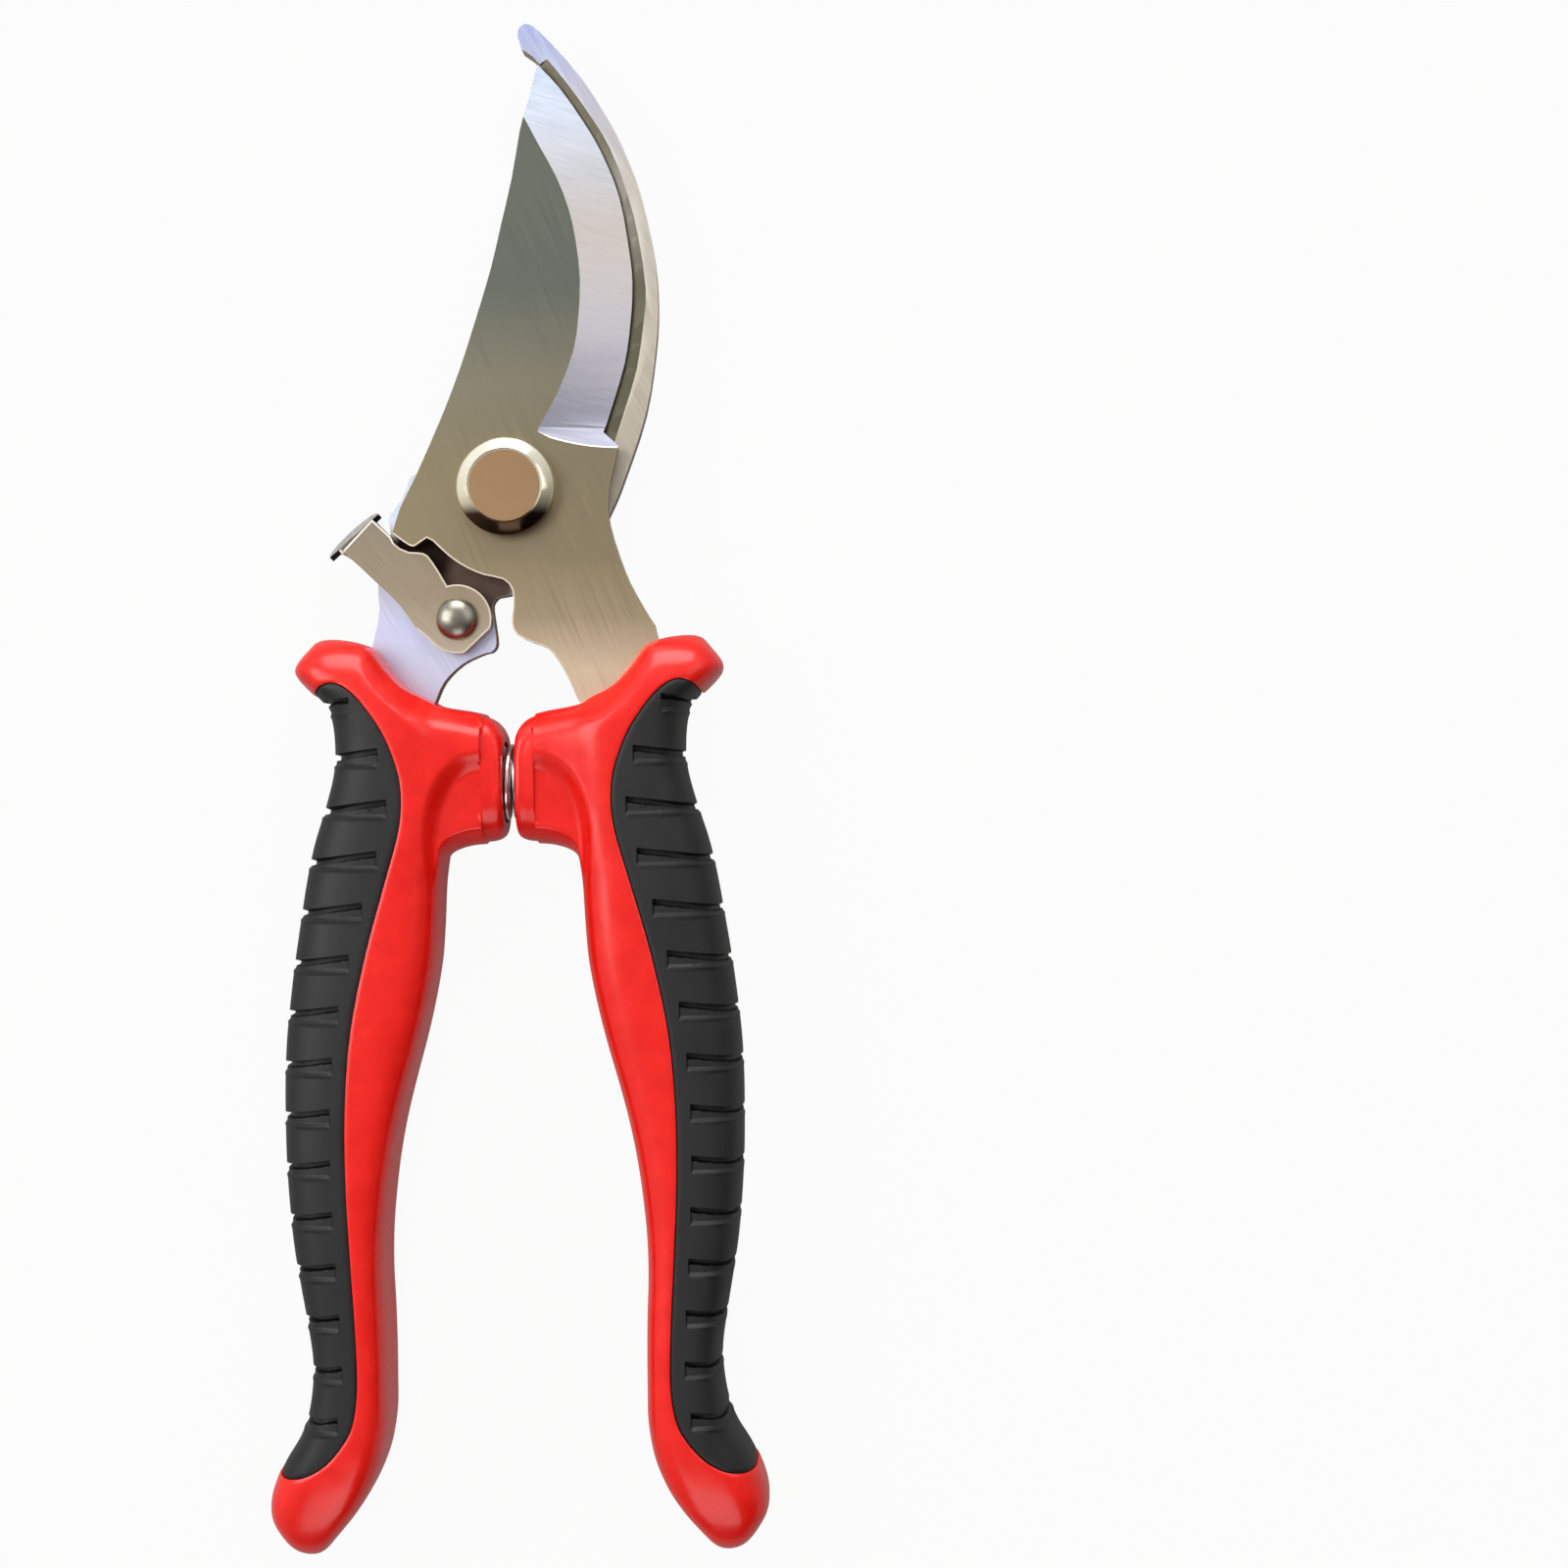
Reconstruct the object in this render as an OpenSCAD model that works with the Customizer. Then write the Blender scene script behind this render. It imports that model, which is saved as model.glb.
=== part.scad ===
// Bypass pruning shears, closed and locked. Lengths are millimetres.
// X points right, Y points to the blade tips, Z points up from the plane that the shears rest on.
// The pivot axis is the Z axis. The cutting blade lies above the hook blade, and its handle is on the right.

/* [Main sizes] */
// reach of the blades, from the pivot to the hook's nose
blade_len = 61.2; // [52:0.2:70]
// reach of the handles, from the pivot to their ends
handle_len = 138.6; // [125:1:160]

/* [Plates] */
// height of the plane where the two blades slide on each other
shear_z = 8.8; // [7:0.1:11]
// thickness of the cutting blade
blade_t = 2.6; // [1.8:0.1:3.2]
// thickness of the hook blade
hook_t = 3.0; // [2:0.1:3.6]
// gap between the two blades
shear_gap = 0.1; // [0.05:0.01:0.2]
// thickness left at the cutting edge
edge_land = 0.15; // [0.1:0.05:0.4]
// depth of the relief ground along the hook's face
relief_depth = 0.55; // [0.2:0.05:0.9]

/* [Pivot] */
// radius of the bolt's head
head_r = 6.3; // [5.5:0.1:7.5]
// radius of the flat on top of the head
head_flat_r = 4.7; // [3.5:0.1:5.2]
// height of the bolt's head
head_h = 3.2; // [2:0.1:4]
// height of the head's straight wall
head_wall = 1.7; // [0.3:0.1:2.2]
// radius of the bolt's plain shank
shank_r = 3.5; // [3.2:0.1:4.2]
// radius of the bolt's threaded end
thread_r = 3.0; // [2.5:0.1:3.1]
// thickness of the lock washer
washer_t = 1.2; // [0.8:0.1:1.6]
// radius of the lock washer
washer_r = 5.7; // [5:0.1:6.5]
// width of the nut across its flats
nut_af = 11; // [10:0.5:13]
// length of thread that shows below the nut
thread_show = 0.4; // [0.2:0.1:0.8]

/* [Lock lever] */
// thickness of the lever
lever_t = 1.6; // [1:0.1:1.8]
// height of the washer under the lever
lever_lift = 0.4; // [0.3:0.05:0.6]
// radius of the washer under the lever
lever_washer_r = 3.6; // [3:0.1:4]
// radius of the lever's eye
eye_r = 4.5; // [4:0.1:4.6]
// radius of the rivet's shank
rivet_r = 1.6; // [1.2:0.1:2]
// radius of the rivet's dome
dome_r = 2.75; // [2.3:0.05:3.2]
// height of the rivet's dome
dome_h = 1.7; // [1.2:0.1:2.2]
// radius of the rivet's flattened tail
tail_r = 2.5; // [2.2:0.1:3]
// height of the rivet's flattened tail
tail_h = 1.0; // [0.6:0.1:1.4]
// length of the thumb tab along its fold
tab_w = 9.7; // [8:0.1:11]
// drop of the thumb tab below the lever's top
tab_drop = 6.4; // [4:0.1:7]
// lean of the thumb tab away from the blades
tab_lean = 13; // [0:1:18]
// outer radius of the thumb tab's fold
fold_r = 1.9; // [1.8:0.1:2.4]

/* [Return spring] */
// outer radius of the coil
coil_r = 5.0; // [4.4:0.1:5.2]
// diameter of the spring wire
wire_d = 1.2; // [1:0.1:1.3]
// number of turns
turns = 8.5; // [6:0.5:9]
// distance of the coil's axis below the pivot
coil_y = 38.3; // [37.5:0.1:39]
// radius of the spring sockets
socket_r = 5.4; // [5.3:0.1:5.8]
// distance of a socket's floor from the middle plane
socket_x = 9.8; // [9:0.1:10.4]

/* [Handles] */
// half of the gap between the two bosses
boss_gap = 0.8; // [0.6:0.1:1.2]
// thickness of the soft grip
grip_t = 2.2; // [1.8:0.1:2.6]
// depth of the grip's grooves
groove_d = 0.9; // [0.4:0.1:1.2]
// half width of a groove at the outer side
groove_out = 0.75; // [0.5:0.05:0.9]
// half width of a groove at its inner end
groove_in = 1.25; // [0.9:0.05:1.5]
// distance of the first groove's lower lip below the pivot
groove_y = 29.5; // [29:0.1:30]
// distance from the grip's edge to a groove's inner end
groove_rim = 2.0; // [1.4:0.1:3]
// height of the panel beside each boss above the middle plane of the handle
panel_h = 6.2; // [5.8:0.1:7]
// distance of the panel's middle below the pivot
panel_y = 46.2; // [45:0.1:47]
// distance of the panel's middle from the middle plane
panel_x = 2.9; // [2.5:0.1:3.3]
// half length of the panel
panel_len = 11.9; // [11:0.1:12.5]
// half width of the panel
panel_w = 7.3; // [6.8:0.1:7.6]
// width of the collar left between the panel and the boss's face
collar_w = 2.6; // [2:0.1:3]
// exponent of the handle's rounded section on its outer side
outer_n = 3.0; // [2:0.1:5]
// exponent of the handle's boxier section on its inner side
inner_n = 4.4; // [2:0.1:6]
// exponent of the boss's rounded section
boss_n = 2.3; // [2:0.1:4]

/* [Fits] */
// radial clearance of the blade's bore, the lever's bore and the fixed bores
bore_fit = 0.05; // [0.02:0.01:0.09]
// clearance under the bolt's head and the rivet's dome
face_play = 0.06; // [0.03:0.01:0.12]
// clearance of the tangs in the handles
tang_fit = 0.12; // [0.08:0.01:0.25]
// clearance at the ends of the return spring
spring_play = 0.15; // [0.1:0.05:0.3]

/* [Hidden] */
blade_z = shear_z + shear_gap;
blade_top = blade_z + blade_t;
hook_z = shear_z - hook_t;
head_z = blade_top + face_play;
nut_h = hook_z - washer_t - thread_show;
washer_z = nut_h + thread_show;
lever_z = shear_z + lever_lift + face_play;
lever_top = lever_z + lever_t;
rivet_at = [-6.8, -16.9];
tab_at = [-20.1, -5.95];
tab_turn = 41.2;
mid_z = shear_z;
ring_n = 20;
// reach at which the tables below are drawn, and where each begins to stretch
blade_drawn = 61.2;
blade_root = 12;
handle_drawn = 138.6;
handle_root = 52;
steel = [0.62, 0.61, 0.57];
red = [0.84, 0.1, 0.08];
black = [0.12, 0.12, 0.13];

// heights that follow the reach of the blades and of the handles
function up(y) =
  y < blade_root ? y : blade_root + (y - blade_root) * (blade_len - blade_root) / (blade_drawn - blade_root);
function low(y) =
  y > -handle_root ? y : -handle_root + (y + handle_root) * (handle_len - handle_root) / (handle_drawn - handle_root);
function tall(p) = [for (r = p) len(r) == 2 ? [r[0], up(r[1])] : [r[0], up(r[1]), r[2], up(r[3])]];
function deep(p) = [for (r = p) [for (k = [0:len(r) - 1]) k == 0 ? low(r[0]) : r[k]]];

// one point of a smooth span between b and c
function span(a, b, c, d, t) =
  0.5 * (2 * b + (c - a) * t + (2 * a - 5 * b + 4 * c - d) * t * t + (3 * b - a - 3 * c + d) * t * t * t);

// a smooth open curve through the rows of p, with n steps from each row to the next
function curve(p, n) = concat(
  [for (i = [0:len(p) - 2])
     for (k = [0:n - 1])
       span(p[max(i - 1, 0)], p[i], p[i + 1], p[min(i + 2, len(p) - 1)], k / n)],
  [p[len(p) - 1]]);

// a superellipse's signed power
function spow(v, e) = sign(v) * pow(abs(v), e);

// the sum of a list of vectors
function total(v) = [for (k = [0:2]) [for (p = v) p[k]] * [for (p = v) 1]];

// true where a ring turns the wrong way round for the ring that follows it
function backward(a, b) =
  total([for (j = [0:len(a) - 1]) cross(a[j] - a[0], a[(j + 1) % len(a)] - a[0])]) * (total(b) - total(a)) < 0;

// a solid through rings that all have the same number of points
module skin(given) {
  n = len(given[0]);
  m = len(given);
  turn = backward(given[0], given[1]);
  rings = [for (r = given) turn ? [for (j = [n - 1:-1:0]) r[j]] : r];
  polyhedron(
    points = [for (r = rings) for (p = r) p],
    faces = concat(
      [[for (j = [0:n - 1]) j]],
      [for (i = [0:m - 2]) for (j = [0:n - 1]) [i * n + j, (i + 1) * n + j, i * n + (j + 1) % n]],
      [for (i = [0:m - 2]) for (j = [0:n - 1])
         [i * n + (j + 1) % n, (i + 1) * n + j, (i + 1) * n + (j + 1) % n]],
      [[for (j = [n - 1:-1:0]) (m - 1) * n + j]]));
}

// ---- blades ----

// the cutting edge, from the tip to the heel
edge_line = [[4.55, 55.55], [7.35, 52.6], [10.2, 48.5], [12.6, 44.35], [15, 38.2], [16.35, 30.05],
             [16.55, 26], [16.25, 21.8], [15.4, 16.35], [13.3, 9.6], [12.5, 7.45]];
// the blade's right side, from the heel to the handle
blade_right = [[14.5, 5.6], [14.1, 3.4], [13.2, -0.6], [13.3, -4.7], [15.2, -10.9], [17.2, -15.0], [19.0, -18.0]];
// the side of the window between the tangs, from the handle up to the latch bump
blade_window = [[8.8, -27.5], [7.8, -25.1], [6.5, -22.7], [5.0, -20.9], [3.0, -20.1], [1.1, -19.1], [0.4, -17.6],
                [0.62, -15.5], [0.55, -13.3], [-0.6, -11.9], [-3.1, -11.3], [-5.4, -10.3], [-7.6, -8.8], [-9.7, -6.8]];
// the latch bump and the corner beside it
blade_bump = [[-10.5, -6.35], [-11.3, -6.9], [-12.3, -7.45], [-13.3, -7.0], [-14.1, -6.4]];
// the blade's back, from the corner to the tip
blade_back = [[-15, -5.7], [-13.9, -2.3], [-11.8, 1.8], [-8.15, 9.9], [-5.75, 16.05], [-3.75, 22.1],
              [-1.8, 28.25], [-0.3, 34.3], [1.2, 40.45], [2.3, 46.5], [3.45, 50.6]];
// rows of height, inner side and outer side of the blade's tang in its handle
blade_tang = [[-18, 1.5, 19.0], [-22, 5.9, 19.9], [-27.5, 8.8, 17.9], [-31, 11.2, 17.6], [-36, 12.6, 18.8],
              [-41, 12.9, 19.6], [-46, 13.2, 20.6], [-51, 13.6, 21.6], [-62, 14.8, 23.2], [-70, 16.6, 24.0],
              [-78, 18.4, 24.2]];
// the two sides of the ground bevel: its inner line, then the cutting edge that it runs to
bevel_rows = [[0.9, 53.75, 6.15, 57.15], [1.7, 50.5, 7.85, 53.15], [3, 48, 10.2, 48.5],
              [4.85, 44.45, 12.6, 44.35], [7.05, 40.3, 14.2, 40.65], [8.55, 36.2, 15.4, 36.2],
              [9.4, 32.15, 16.1, 32.15], [9.9, 27.1, 16.55, 26.8], [9.6, 21.9, 16.25, 21.8],
              [8.95, 17.85, 15.65, 17.85], [7.45, 13.8, 14.6, 13.5], [6.35, 11.5, 13.8, 11.1],
              [5.25, 9.5, 13.1, 9.05], [4.3, 7.85, 13.1, 7.15], [4.15, 7.25, 14.3, 5.25]];

// the hook's outer side, from its nose to the handle
hook_nose = [[2.5, 57.9], [1.9, 59.5], [2.2, 60.8], [3.5, 61.2], [5.6, 59.4], [8.3, 56.4], [10.8, 53.2],
             [13.4, 49], [15.5, 44.9], [17.8, 38.7], [19.5, 30.4], [19.9, 24.2], [19.5, 18.1], [18.1, 9.9],
             [15.3, 1.7], [13.5, -2.6], [11.2, -6.6], [7.6, -10.4], [3.6, -13], [0.5, -13.6]];
// the window side of the hook's tang
hook_window = [[-1.7, -14.0], [-2.4, -15.0], [-2.2, -17.2], [-1.9, -20.0], [-2.5, -21.1], [-3.6, -21.4],
               [-6.4, -22.7], [-8.8, -25.0], [-10.0, -27.5]];
// the hook's left side, from the handle to the shearing edge
hook_left = [[-17.7, -18.0], [-17.25, -15.2], [-17.4, -12.4], [-16.6, -8.5], [-15.6, -5.5]];
// the small shoulder that shows beside the lever
hook_shoulder = [[-15.9, -3.2], [-15.1, -2.3], [-13.8, -0.2], [-13.0, 1.9], [-11.4, 2.6]];
// the shearing edge, hidden behind the cutting blade
hook_shear = [[-8.3, 5.2], [-3.2, 9.2], [3.4, 11.4], [8.2, 15.0], [11.2, 20.4], [12.6, 26.2], [12.5, 32.4], [11.2, 38.6],
              [9.3, 44.2], [7.2, 49.2], [5.9, 52.6], [4.9, 55.6], [3.9, 56.9]];
// rows of height, inner side and outer side of the hook's tang in its handle
hook_tang = [[-18, 1.5, 17.7], [-22, 5.0, 18.6], [-27.5, 10.0, 17.8], [-31, 11.6, 17.6], [-36, 12.6, 18.8],
             [-41, 12.9, 19.6], [-46, 13.2, 20.6], [-51, 13.6, 21.6], [-62, 14.8, 23.2], [-70, 16.6, 24.0],
             [-78, 18.4, 24.2]];
// the relief on the hook's face: its inner line under the blade, then its outer line
relief_rows = [[4.4, 55.6, 5.75, 56.55], [6.9, 52, 8.55, 53.05], [9.7, 47.7, 11.45, 48.85],
               [12, 43.4, 13.85, 44.75], [13.9, 38, 16.1, 38.6], [15, 32.6, 17.4, 33.15],
               [15.4, 26.4, 18.3, 26.3], [15.1, 21.8, 18, 22.15], [13.9, 16.4, 17, 15.75],
               [12, 10.8, 15.2, 9.95], [11.3, 6.6, 13.65, 5.35]];

// the part of a tang that the handle hides, as an outline that starts and ends at the handle's mouth
function tang_outline(rows, from) = concat(
  [for (i = [from:len(rows) - 1]) [rows[i][2], rows[i][0]]],
  [[rows[len(rows) - 1][2] - 1.5, rows[len(rows) - 1][0] - 1.6],
   [rows[len(rows) - 1][1] + 1.5, rows[len(rows) - 1][0] - 1.6]],
  [for (i = [len(rows) - 1:-1:from + 2]) [rows[i][1], rows[i][0]]]);

// one section of the cutter for the bevel
function bevel_ring(r) = [
  [r[0], r[1], blade_top],
  [r[0], r[1], blade_top + 1],
  [r[2] + 0.25 * (r[2] - r[0]), r[3] + 0.25 * (r[3] - r[1]), blade_top + 1],
  [r[2] + 0.25 * (r[2] - r[0]), r[3] + 0.25 * (r[3] - r[1]), blade_top - 1.25 * (blade_t - edge_land)]];

// one section of the cutter for the relief
function relief_ring(r) = [
  [r[0], r[1], shear_z - relief_depth],
  [r[0], r[1], shear_z + 1],
  [r[2], r[3], shear_z + 1],
  [r[2], r[3], shear_z]];

module cutting_blade() {
  color(steel)
  difference() {
    translate([0, 0, blade_z])
    linear_extrude(blade_t)
    polygon(concat(
      curve(tall(edge_line), 3),
      curve(blade_right, 3),
      tang_outline(deep(blade_tang), 1),
      curve(blade_window, 2),
      curve(blade_bump, 3),
      curve(tall(blade_back), 2)));
    skin([for (r = curve(tall(bevel_rows), 2)) bevel_ring(r)]);
    translate([0, 0, blade_z - 1])
    cylinder(h = blade_t + 2, r = shank_r + bore_fit, $fn = 64);
  }
}

module hook_blade() {
  color(steel)
  difference() {
    translate([0, 0, hook_z])
    linear_extrude(hook_t)
    polygon(concat(
      curve(tall(hook_nose), 3),
      curve(hook_window, 3),
      tang_mirror(tang_outline(deep(hook_tang), 1)),
      curve(hook_left, 2),
      curve(hook_shoulder, 2),
      curve(tall(hook_shear), 3)));
    skin([for (r = curve(tall(relief_rows), 2)) relief_ring(r)]);
    translate([0, 0, hook_z - 1])
    cylinder(h = hook_t + 2, r = shank_r + bore_fit, $fn = 64);
    translate([rivet_at[0], rivet_at[1], hook_z - 1])
    cylinder(h = hook_t + 2, r = rivet_r + bore_fit, $fn = 48);
  }
}

// the left tang's outline runs the other way round
function tang_mirror(p) = [for (i = [len(p) - 1:-1:0]) [-p[i][0], p[i][1]]];

// ---- pivot ----

module pivot_bolt() {
  color([0.66, 0.56, 0.46])
  rotate_extrude($fn = 72)
  polygon([
    [0, 0],
    [thread_r - 0.5, 0],
    [thread_r, 0.5],
    [thread_r, washer_z + washer_t],
    [shank_r, washer_z + washer_t],
    [shank_r, head_z],
    [head_r - 0.2, head_z],
    [head_r, head_z + 0.2],
    [head_r, head_z + head_wall],
    [head_r - 0.1, head_z + head_wall + 0.25],
    [(head_r + head_flat_r) / 2, head_z + (head_wall + head_h) / 2 + 0.15],
    [head_flat_r + 0.2, head_z + head_h - 0.12],
    [head_flat_r - 0.1, head_z + head_h],
    [0, head_z + head_h]]);
}

module pivot_washer() {
  color(steel)
  translate([0, 0, washer_z])
  difference() {
    cylinder(h = washer_t, r = washer_r, $fn = 64);
    translate([0, 0, -1])
    cylinder(h = washer_t + 2, r = thread_r + bore_fit, $fn = 64);
    translate([0, -washer_r - 1, washer_t / 2])
    rotate([0, 35, 0])
    cube([0.5, 2 * washer_r, 4 * washer_t], center = true);
  }
}

module pivot_nut() {
  color(steel)
  translate([0, 0, thread_show])
  difference() {
    intersection() {
      cylinder(h = nut_h, r = nut_af / 2 / cos(30), $fn = 6);
      rotate_extrude($fn = 72)
      polygon([
        [0, 0],
        [nut_af / 2 - 0.2, 0],
        [nut_af / 2 / cos(30), 0.6],
        [nut_af / 2 / cos(30), nut_h],
        [0, nut_h]]);
    }
    translate([0, 0, -1])
    cylinder(h = nut_h + 2, r = thread_r + bore_fit, $fn = 64);
  }
}

// ---- lock lever ----

// the lever's flat outline without its eye
lever_outline = [[-21.6, -7.9], [-19.3, -10.0], [-17.4, -11.85], [-15.6, -13.5], [-14.3, -14.9], [-13.2, -16.4],
                 [-12.1, -18.1], [-10.9, -20.0], [-6.8, -16.9], [-7.2, -14.0], [-7.95, -12.7], [-8.95, -10.9],
                 [-9.9, -9.4], [-10.5, -8.6], [-11.1, -8.25], [-11.9, -8.15], [-12.9, -8.1], [-14.1, -7.6],
                 [-14.9, -6.9], [-15.3, -6.1], [-17.7, -3.8]];

// the thumb tab's outline, across the fold and down from the lever's top
function tab_edge() = [for (k = [0:16]) [0.43 * tab_w * cos(180 * k / 16), -2.0 - (tab_drop - 2.0) * sin(180 * k / 16)]];

module lock_lever() {
  color([0.6, 0.54, 0.46])
  difference() {
    union() {
      translate([0, 0, lever_z])
      linear_extrude(lever_t)
      union() {
        polygon(lever_outline);
        difference() {
          translate(rivet_at)
          circle(r = eye_r, $fn = 64);
          translate(rivet_at + [eye_r * 0.86 * cos(-47), eye_r * 0.86 * sin(-47)])
          rotate(-47)
          translate([0, -5])
          square([5, 10]);
        }
      }
      translate([tab_at[0], tab_at[1], lever_top])
      rotate([0, 0, tab_turn])
      lever_tab();
    }
    translate([rivet_at[0], rivet_at[1], lever_z - 1])
    cylinder(h = lever_t + 2, r = rivet_r + bore_fit, $fn = 48);
  }
}

// the folded tab: X runs along the fold, Y points away from the blades, and Z is zero at the lever's top
module lever_tab() {
  translate([-2.75, 0, 0])
  rotate([90, 0, 90])
  linear_extrude(5.5)
  intersection() {
    translate([-fold_r, -fold_r])
    difference() {
      circle(r = fold_r, $fn = 48);
      circle(r = fold_r - lever_t, $fn = 48);
    }
    polygon([[-fold_r, -fold_r], [-fold_r, 1], [1, 1], [1, -fold_r - 1.0], [-0.4, -fold_r - 0.6]]);
  }
  translate([0, -fold_r, -fold_r])
  rotate([tab_lean, 0, 0])
  translate([0, fold_r, fold_r])
  rotate([90, 0, 0])
  linear_extrude(lever_t)
  polygon(concat([[-tab_w / 2, -1.3], [-tab_w / 2, -2.2]], [for (i = [16:-1:0]) tab_edge()[i]],
                 [[tab_w / 2, -2.2], [tab_w / 2, -1.3]]));
}

module lever_washer() {
  color(steel)
  translate([rivet_at[0], rivet_at[1], shear_z])
  difference() {
    cylinder(h = lever_lift, r = lever_washer_r, $fn = 48);
    translate([0, 0, -1])
    cylinder(h = lever_lift + 2, r = rivet_r + bore_fit, $fn = 48);
  }
}

module lever_rivet() {
  color([0.55, 0.55, 0.5])
  translate([rivet_at[0], rivet_at[1], 0])
  rotate_extrude($fn = 64)
  polygon(concat(
    [[0, hook_z - tail_h],
     [tail_r - 0.4, hook_z - tail_h],
     [tail_r, hook_z - tail_h + 0.4],
     [tail_r, hook_z],
     [rivet_r, hook_z],
     [rivet_r, lever_top + face_play],
     [dome_r - 0.1, lever_top + face_play],
     [dome_r, lever_top + face_play + 0.15]],
    [for (a = [10:10:90]) [dome_r * cos(a), lever_top + face_play + 0.15 + (dome_h - 0.15) * sin(a)]]));
}

// ---- return spring ----

coil_half = socket_x - spring_play;
coil_steps = round(turns * 16);

// the wire's centre: the end turns lie closer together than the middle ones
function coil_x(s) =
  -coil_half + wire_d / 2 + (2 * coil_half - wire_d) * (s - 0.32 * sin(360 * s) / 6.283);

function coil_ring(i) =
  let (s = i / coil_steps, a = 360 * turns * s, r = coil_r - wire_d / 2)
  [for (k = [0:5])
     [coil_x(s) + wire_d / 2 * sin(60 * k),
      -coil_y + (r + wire_d / 2 * cos(60 * k)) * sin(a),
      mid_z + (r + wire_d / 2 * cos(60 * k)) * cos(a)]];

module return_spring() {
  color([0.75, 0.74, 0.72])
  skin([for (i = [0:coil_steps]) coil_ring(i)]);
}

// ---- handles: everything below is drawn for the right side and mirrored for the left ----

// rows of the handle's form: height, inner side, outer side, half thickness
form_rows = [[-19.35, 22.4, 24.6, 2.2], [-19.75, 20.1, 25.4, 4.0], [-20.6, 17.8, 26.0, 5.8], [-22.0, 16.7, 27.2, 7.2],
             [-23.4, 15.7, 28.0, 7.9], [-24.6, 14.7, 27.5, 8.2], [-26.2, 13.0, 26.0, 8.5], [-28.2, 9.5, 24.0, 8.7],
             [-31, 8.4, 23.1, 8.8], [-36, 8.2, 23.0, 8.8], [-41, 8.2, 24.2, 8.8], [-46, 8.5, 25.8, 8.8],
             [-51, 9.2, 26.9, 8.8], [-56.4, 9.5, 27.8, 8.8], [-61.5, 9.9, 28.6, 8.8], [-67, 10.9, 29.3, 8.8],
             [-72, 12.1, 29.8, 8.8], [-77, 13.5, 30.0, 8.8], [-82, 14.8, 30.0, 8.8], [-87, 15.8, 29.9, 8.8],
             [-92, 16.5, 29.6, 8.8], [-97.5, 17.0, 29.1, 8.8], [-102.6, 17.1, 28.3, 8.8], [-107.8, 16.9, 27.4, 8.8],
             [-113, 16.8, 26.7, 8.8], [-117.5, 16.8, 27.0, 8.8], [-120.7, 16.8, 27.7, 8.8], [-123.3, 17.1, 28.8, 8.8],
             [-125.8, 17.6, 30.4, 8.7], [-128.3, 18.5, 31.6, 8.5], [-130.9, 19.8, 32.4, 8.1], [-133.5, 21.6, 32.3, 7.4],
             [-136.0, 23.7, 30.9, 6.2], [-137.6, 25.0, 29.6, 4.6], [-138.6, 26.2, 28.0, 2.4]];
// the line between the red core and the black grip, from the guard to the tail
grip_line = [[22.0, -25.25], [19.4, -26.8], [17.9, -28.5], [15.8, -31.6], [14.2, -35.4], [13.4, -39.2], [13.7, -44.2],
             [15.7, -51.4], [18.2, -60.3], [20.3, -70.5], [21.1, -80.5], [21.1, -90.2], [20.6, -100.4],
             [20.1, -109.2], [20.0, -116.0], [20.7, -120.5], [22.2, -123.2], [24.2, -125.4], [26.7, -126.85],
             [29.1, -127.35]];
// rows of a boss: distance from the middle plane, top, bottom, half thickness
boss_rows = [[0, -32.2, -45.2, 6.6], [0.3, -31.4, -45.8, 7.1], [0.8, -30.6, -46.1, 7.4], [1.6, -29.8, -46.3, 7.6],
             [2.8, -29.3, -46.4, 7.7], [4.4, -28.95, -46.5, 7.8], [7.2, -28.5, -47.4, 7.9], [9.2, -28.2, -49.5, 8.1],
             [12.0, -27.8, -52.0, 8.0]];
// the grip's outline past the handle's outer side, from the tail back to the guard
grip_out = [[34, -127.2], [44, -127.2], [44, -27], [25.4, -27], [24.2, -25.8]];
// reach of the cutters on each side of the handle's middle plane, and across it
cut_z = 12;
cut_x = 34;
// heights of the grooves' lower lips: the lips are level and the upper walls lean down to the outside
groove_n = 15;
groove_last = 17.12;
groove_step = (handle_len - groove_y - groove_last) / (groove_n - 1);
groove_rows = [for (i = [0:groove_n - 1]) -groove_y - i * groove_step];

// first and last rows of the whole form, of the core under the grip and of the grooves' floors
all_rows = [0, len(form_rows) - 1];
core_rows = [7, 29];
floor_rows = [5, 31];

// where the grip's line stands at a height
function line_x(y) = lookup(-y, [for (p = grip_line) [-low(p[1]), p[0]]]);

// one section of the handle's form, moved in by d
function form_ring(r, d) = [for (k = [0:ring_n - 1])
  let (a = 360 * (k + 0.5) / ring_n, e = 2 / (cos(a) < 0 ? inner_n : outer_n), crown = pow(cos(180 / ring_n), e))
  [(r[1] + r[2]) / 2 + ((r[2] - r[1]) / 2 - d) * spow(cos(a), e) / crown,
   r[0],
   mid_z + (r[3] - d) * spow(sin(a), e) / crown]];

module form(d, span) {
  rows = deep(form_rows);
  skin([for (i = [span[0]:span[1]]) form_ring(rows[i], d)]);
}

// the plan of the grip, drawn well past the handle's outer side
module grip_plan() {
  translate([0, 0, mid_z - cut_z])
  linear_extrude(2 * cut_z)
  polygon([for (p = concat(curve(grip_line, 2), grip_out)) [p[0], low(p[1])]]);
}

function boss_ring(r) = [for (k = [0:ring_n - 1])
  let (a = 360 * (k + 0.5) / ring_n)
  [boss_gap + r[0],
   (r[1] + r[2]) / 2 - (r[1] - r[2]) / 2 * spow(cos(a), 2 / boss_n),
   mid_z + r[3] * spow(sin(a), 2 / boss_n)]];

// the panel that is sunk into the boss's face, one section
function panel_ring(z, s) = [for (k = [0:31])
  let (a = 360 * k / 32)
  [panel_x + (panel_w - s) * spow(cos(a), 2 / boss_n), -panel_y + (panel_len - s) * spow(sin(a), 2 / boss_n), z]];

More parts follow.
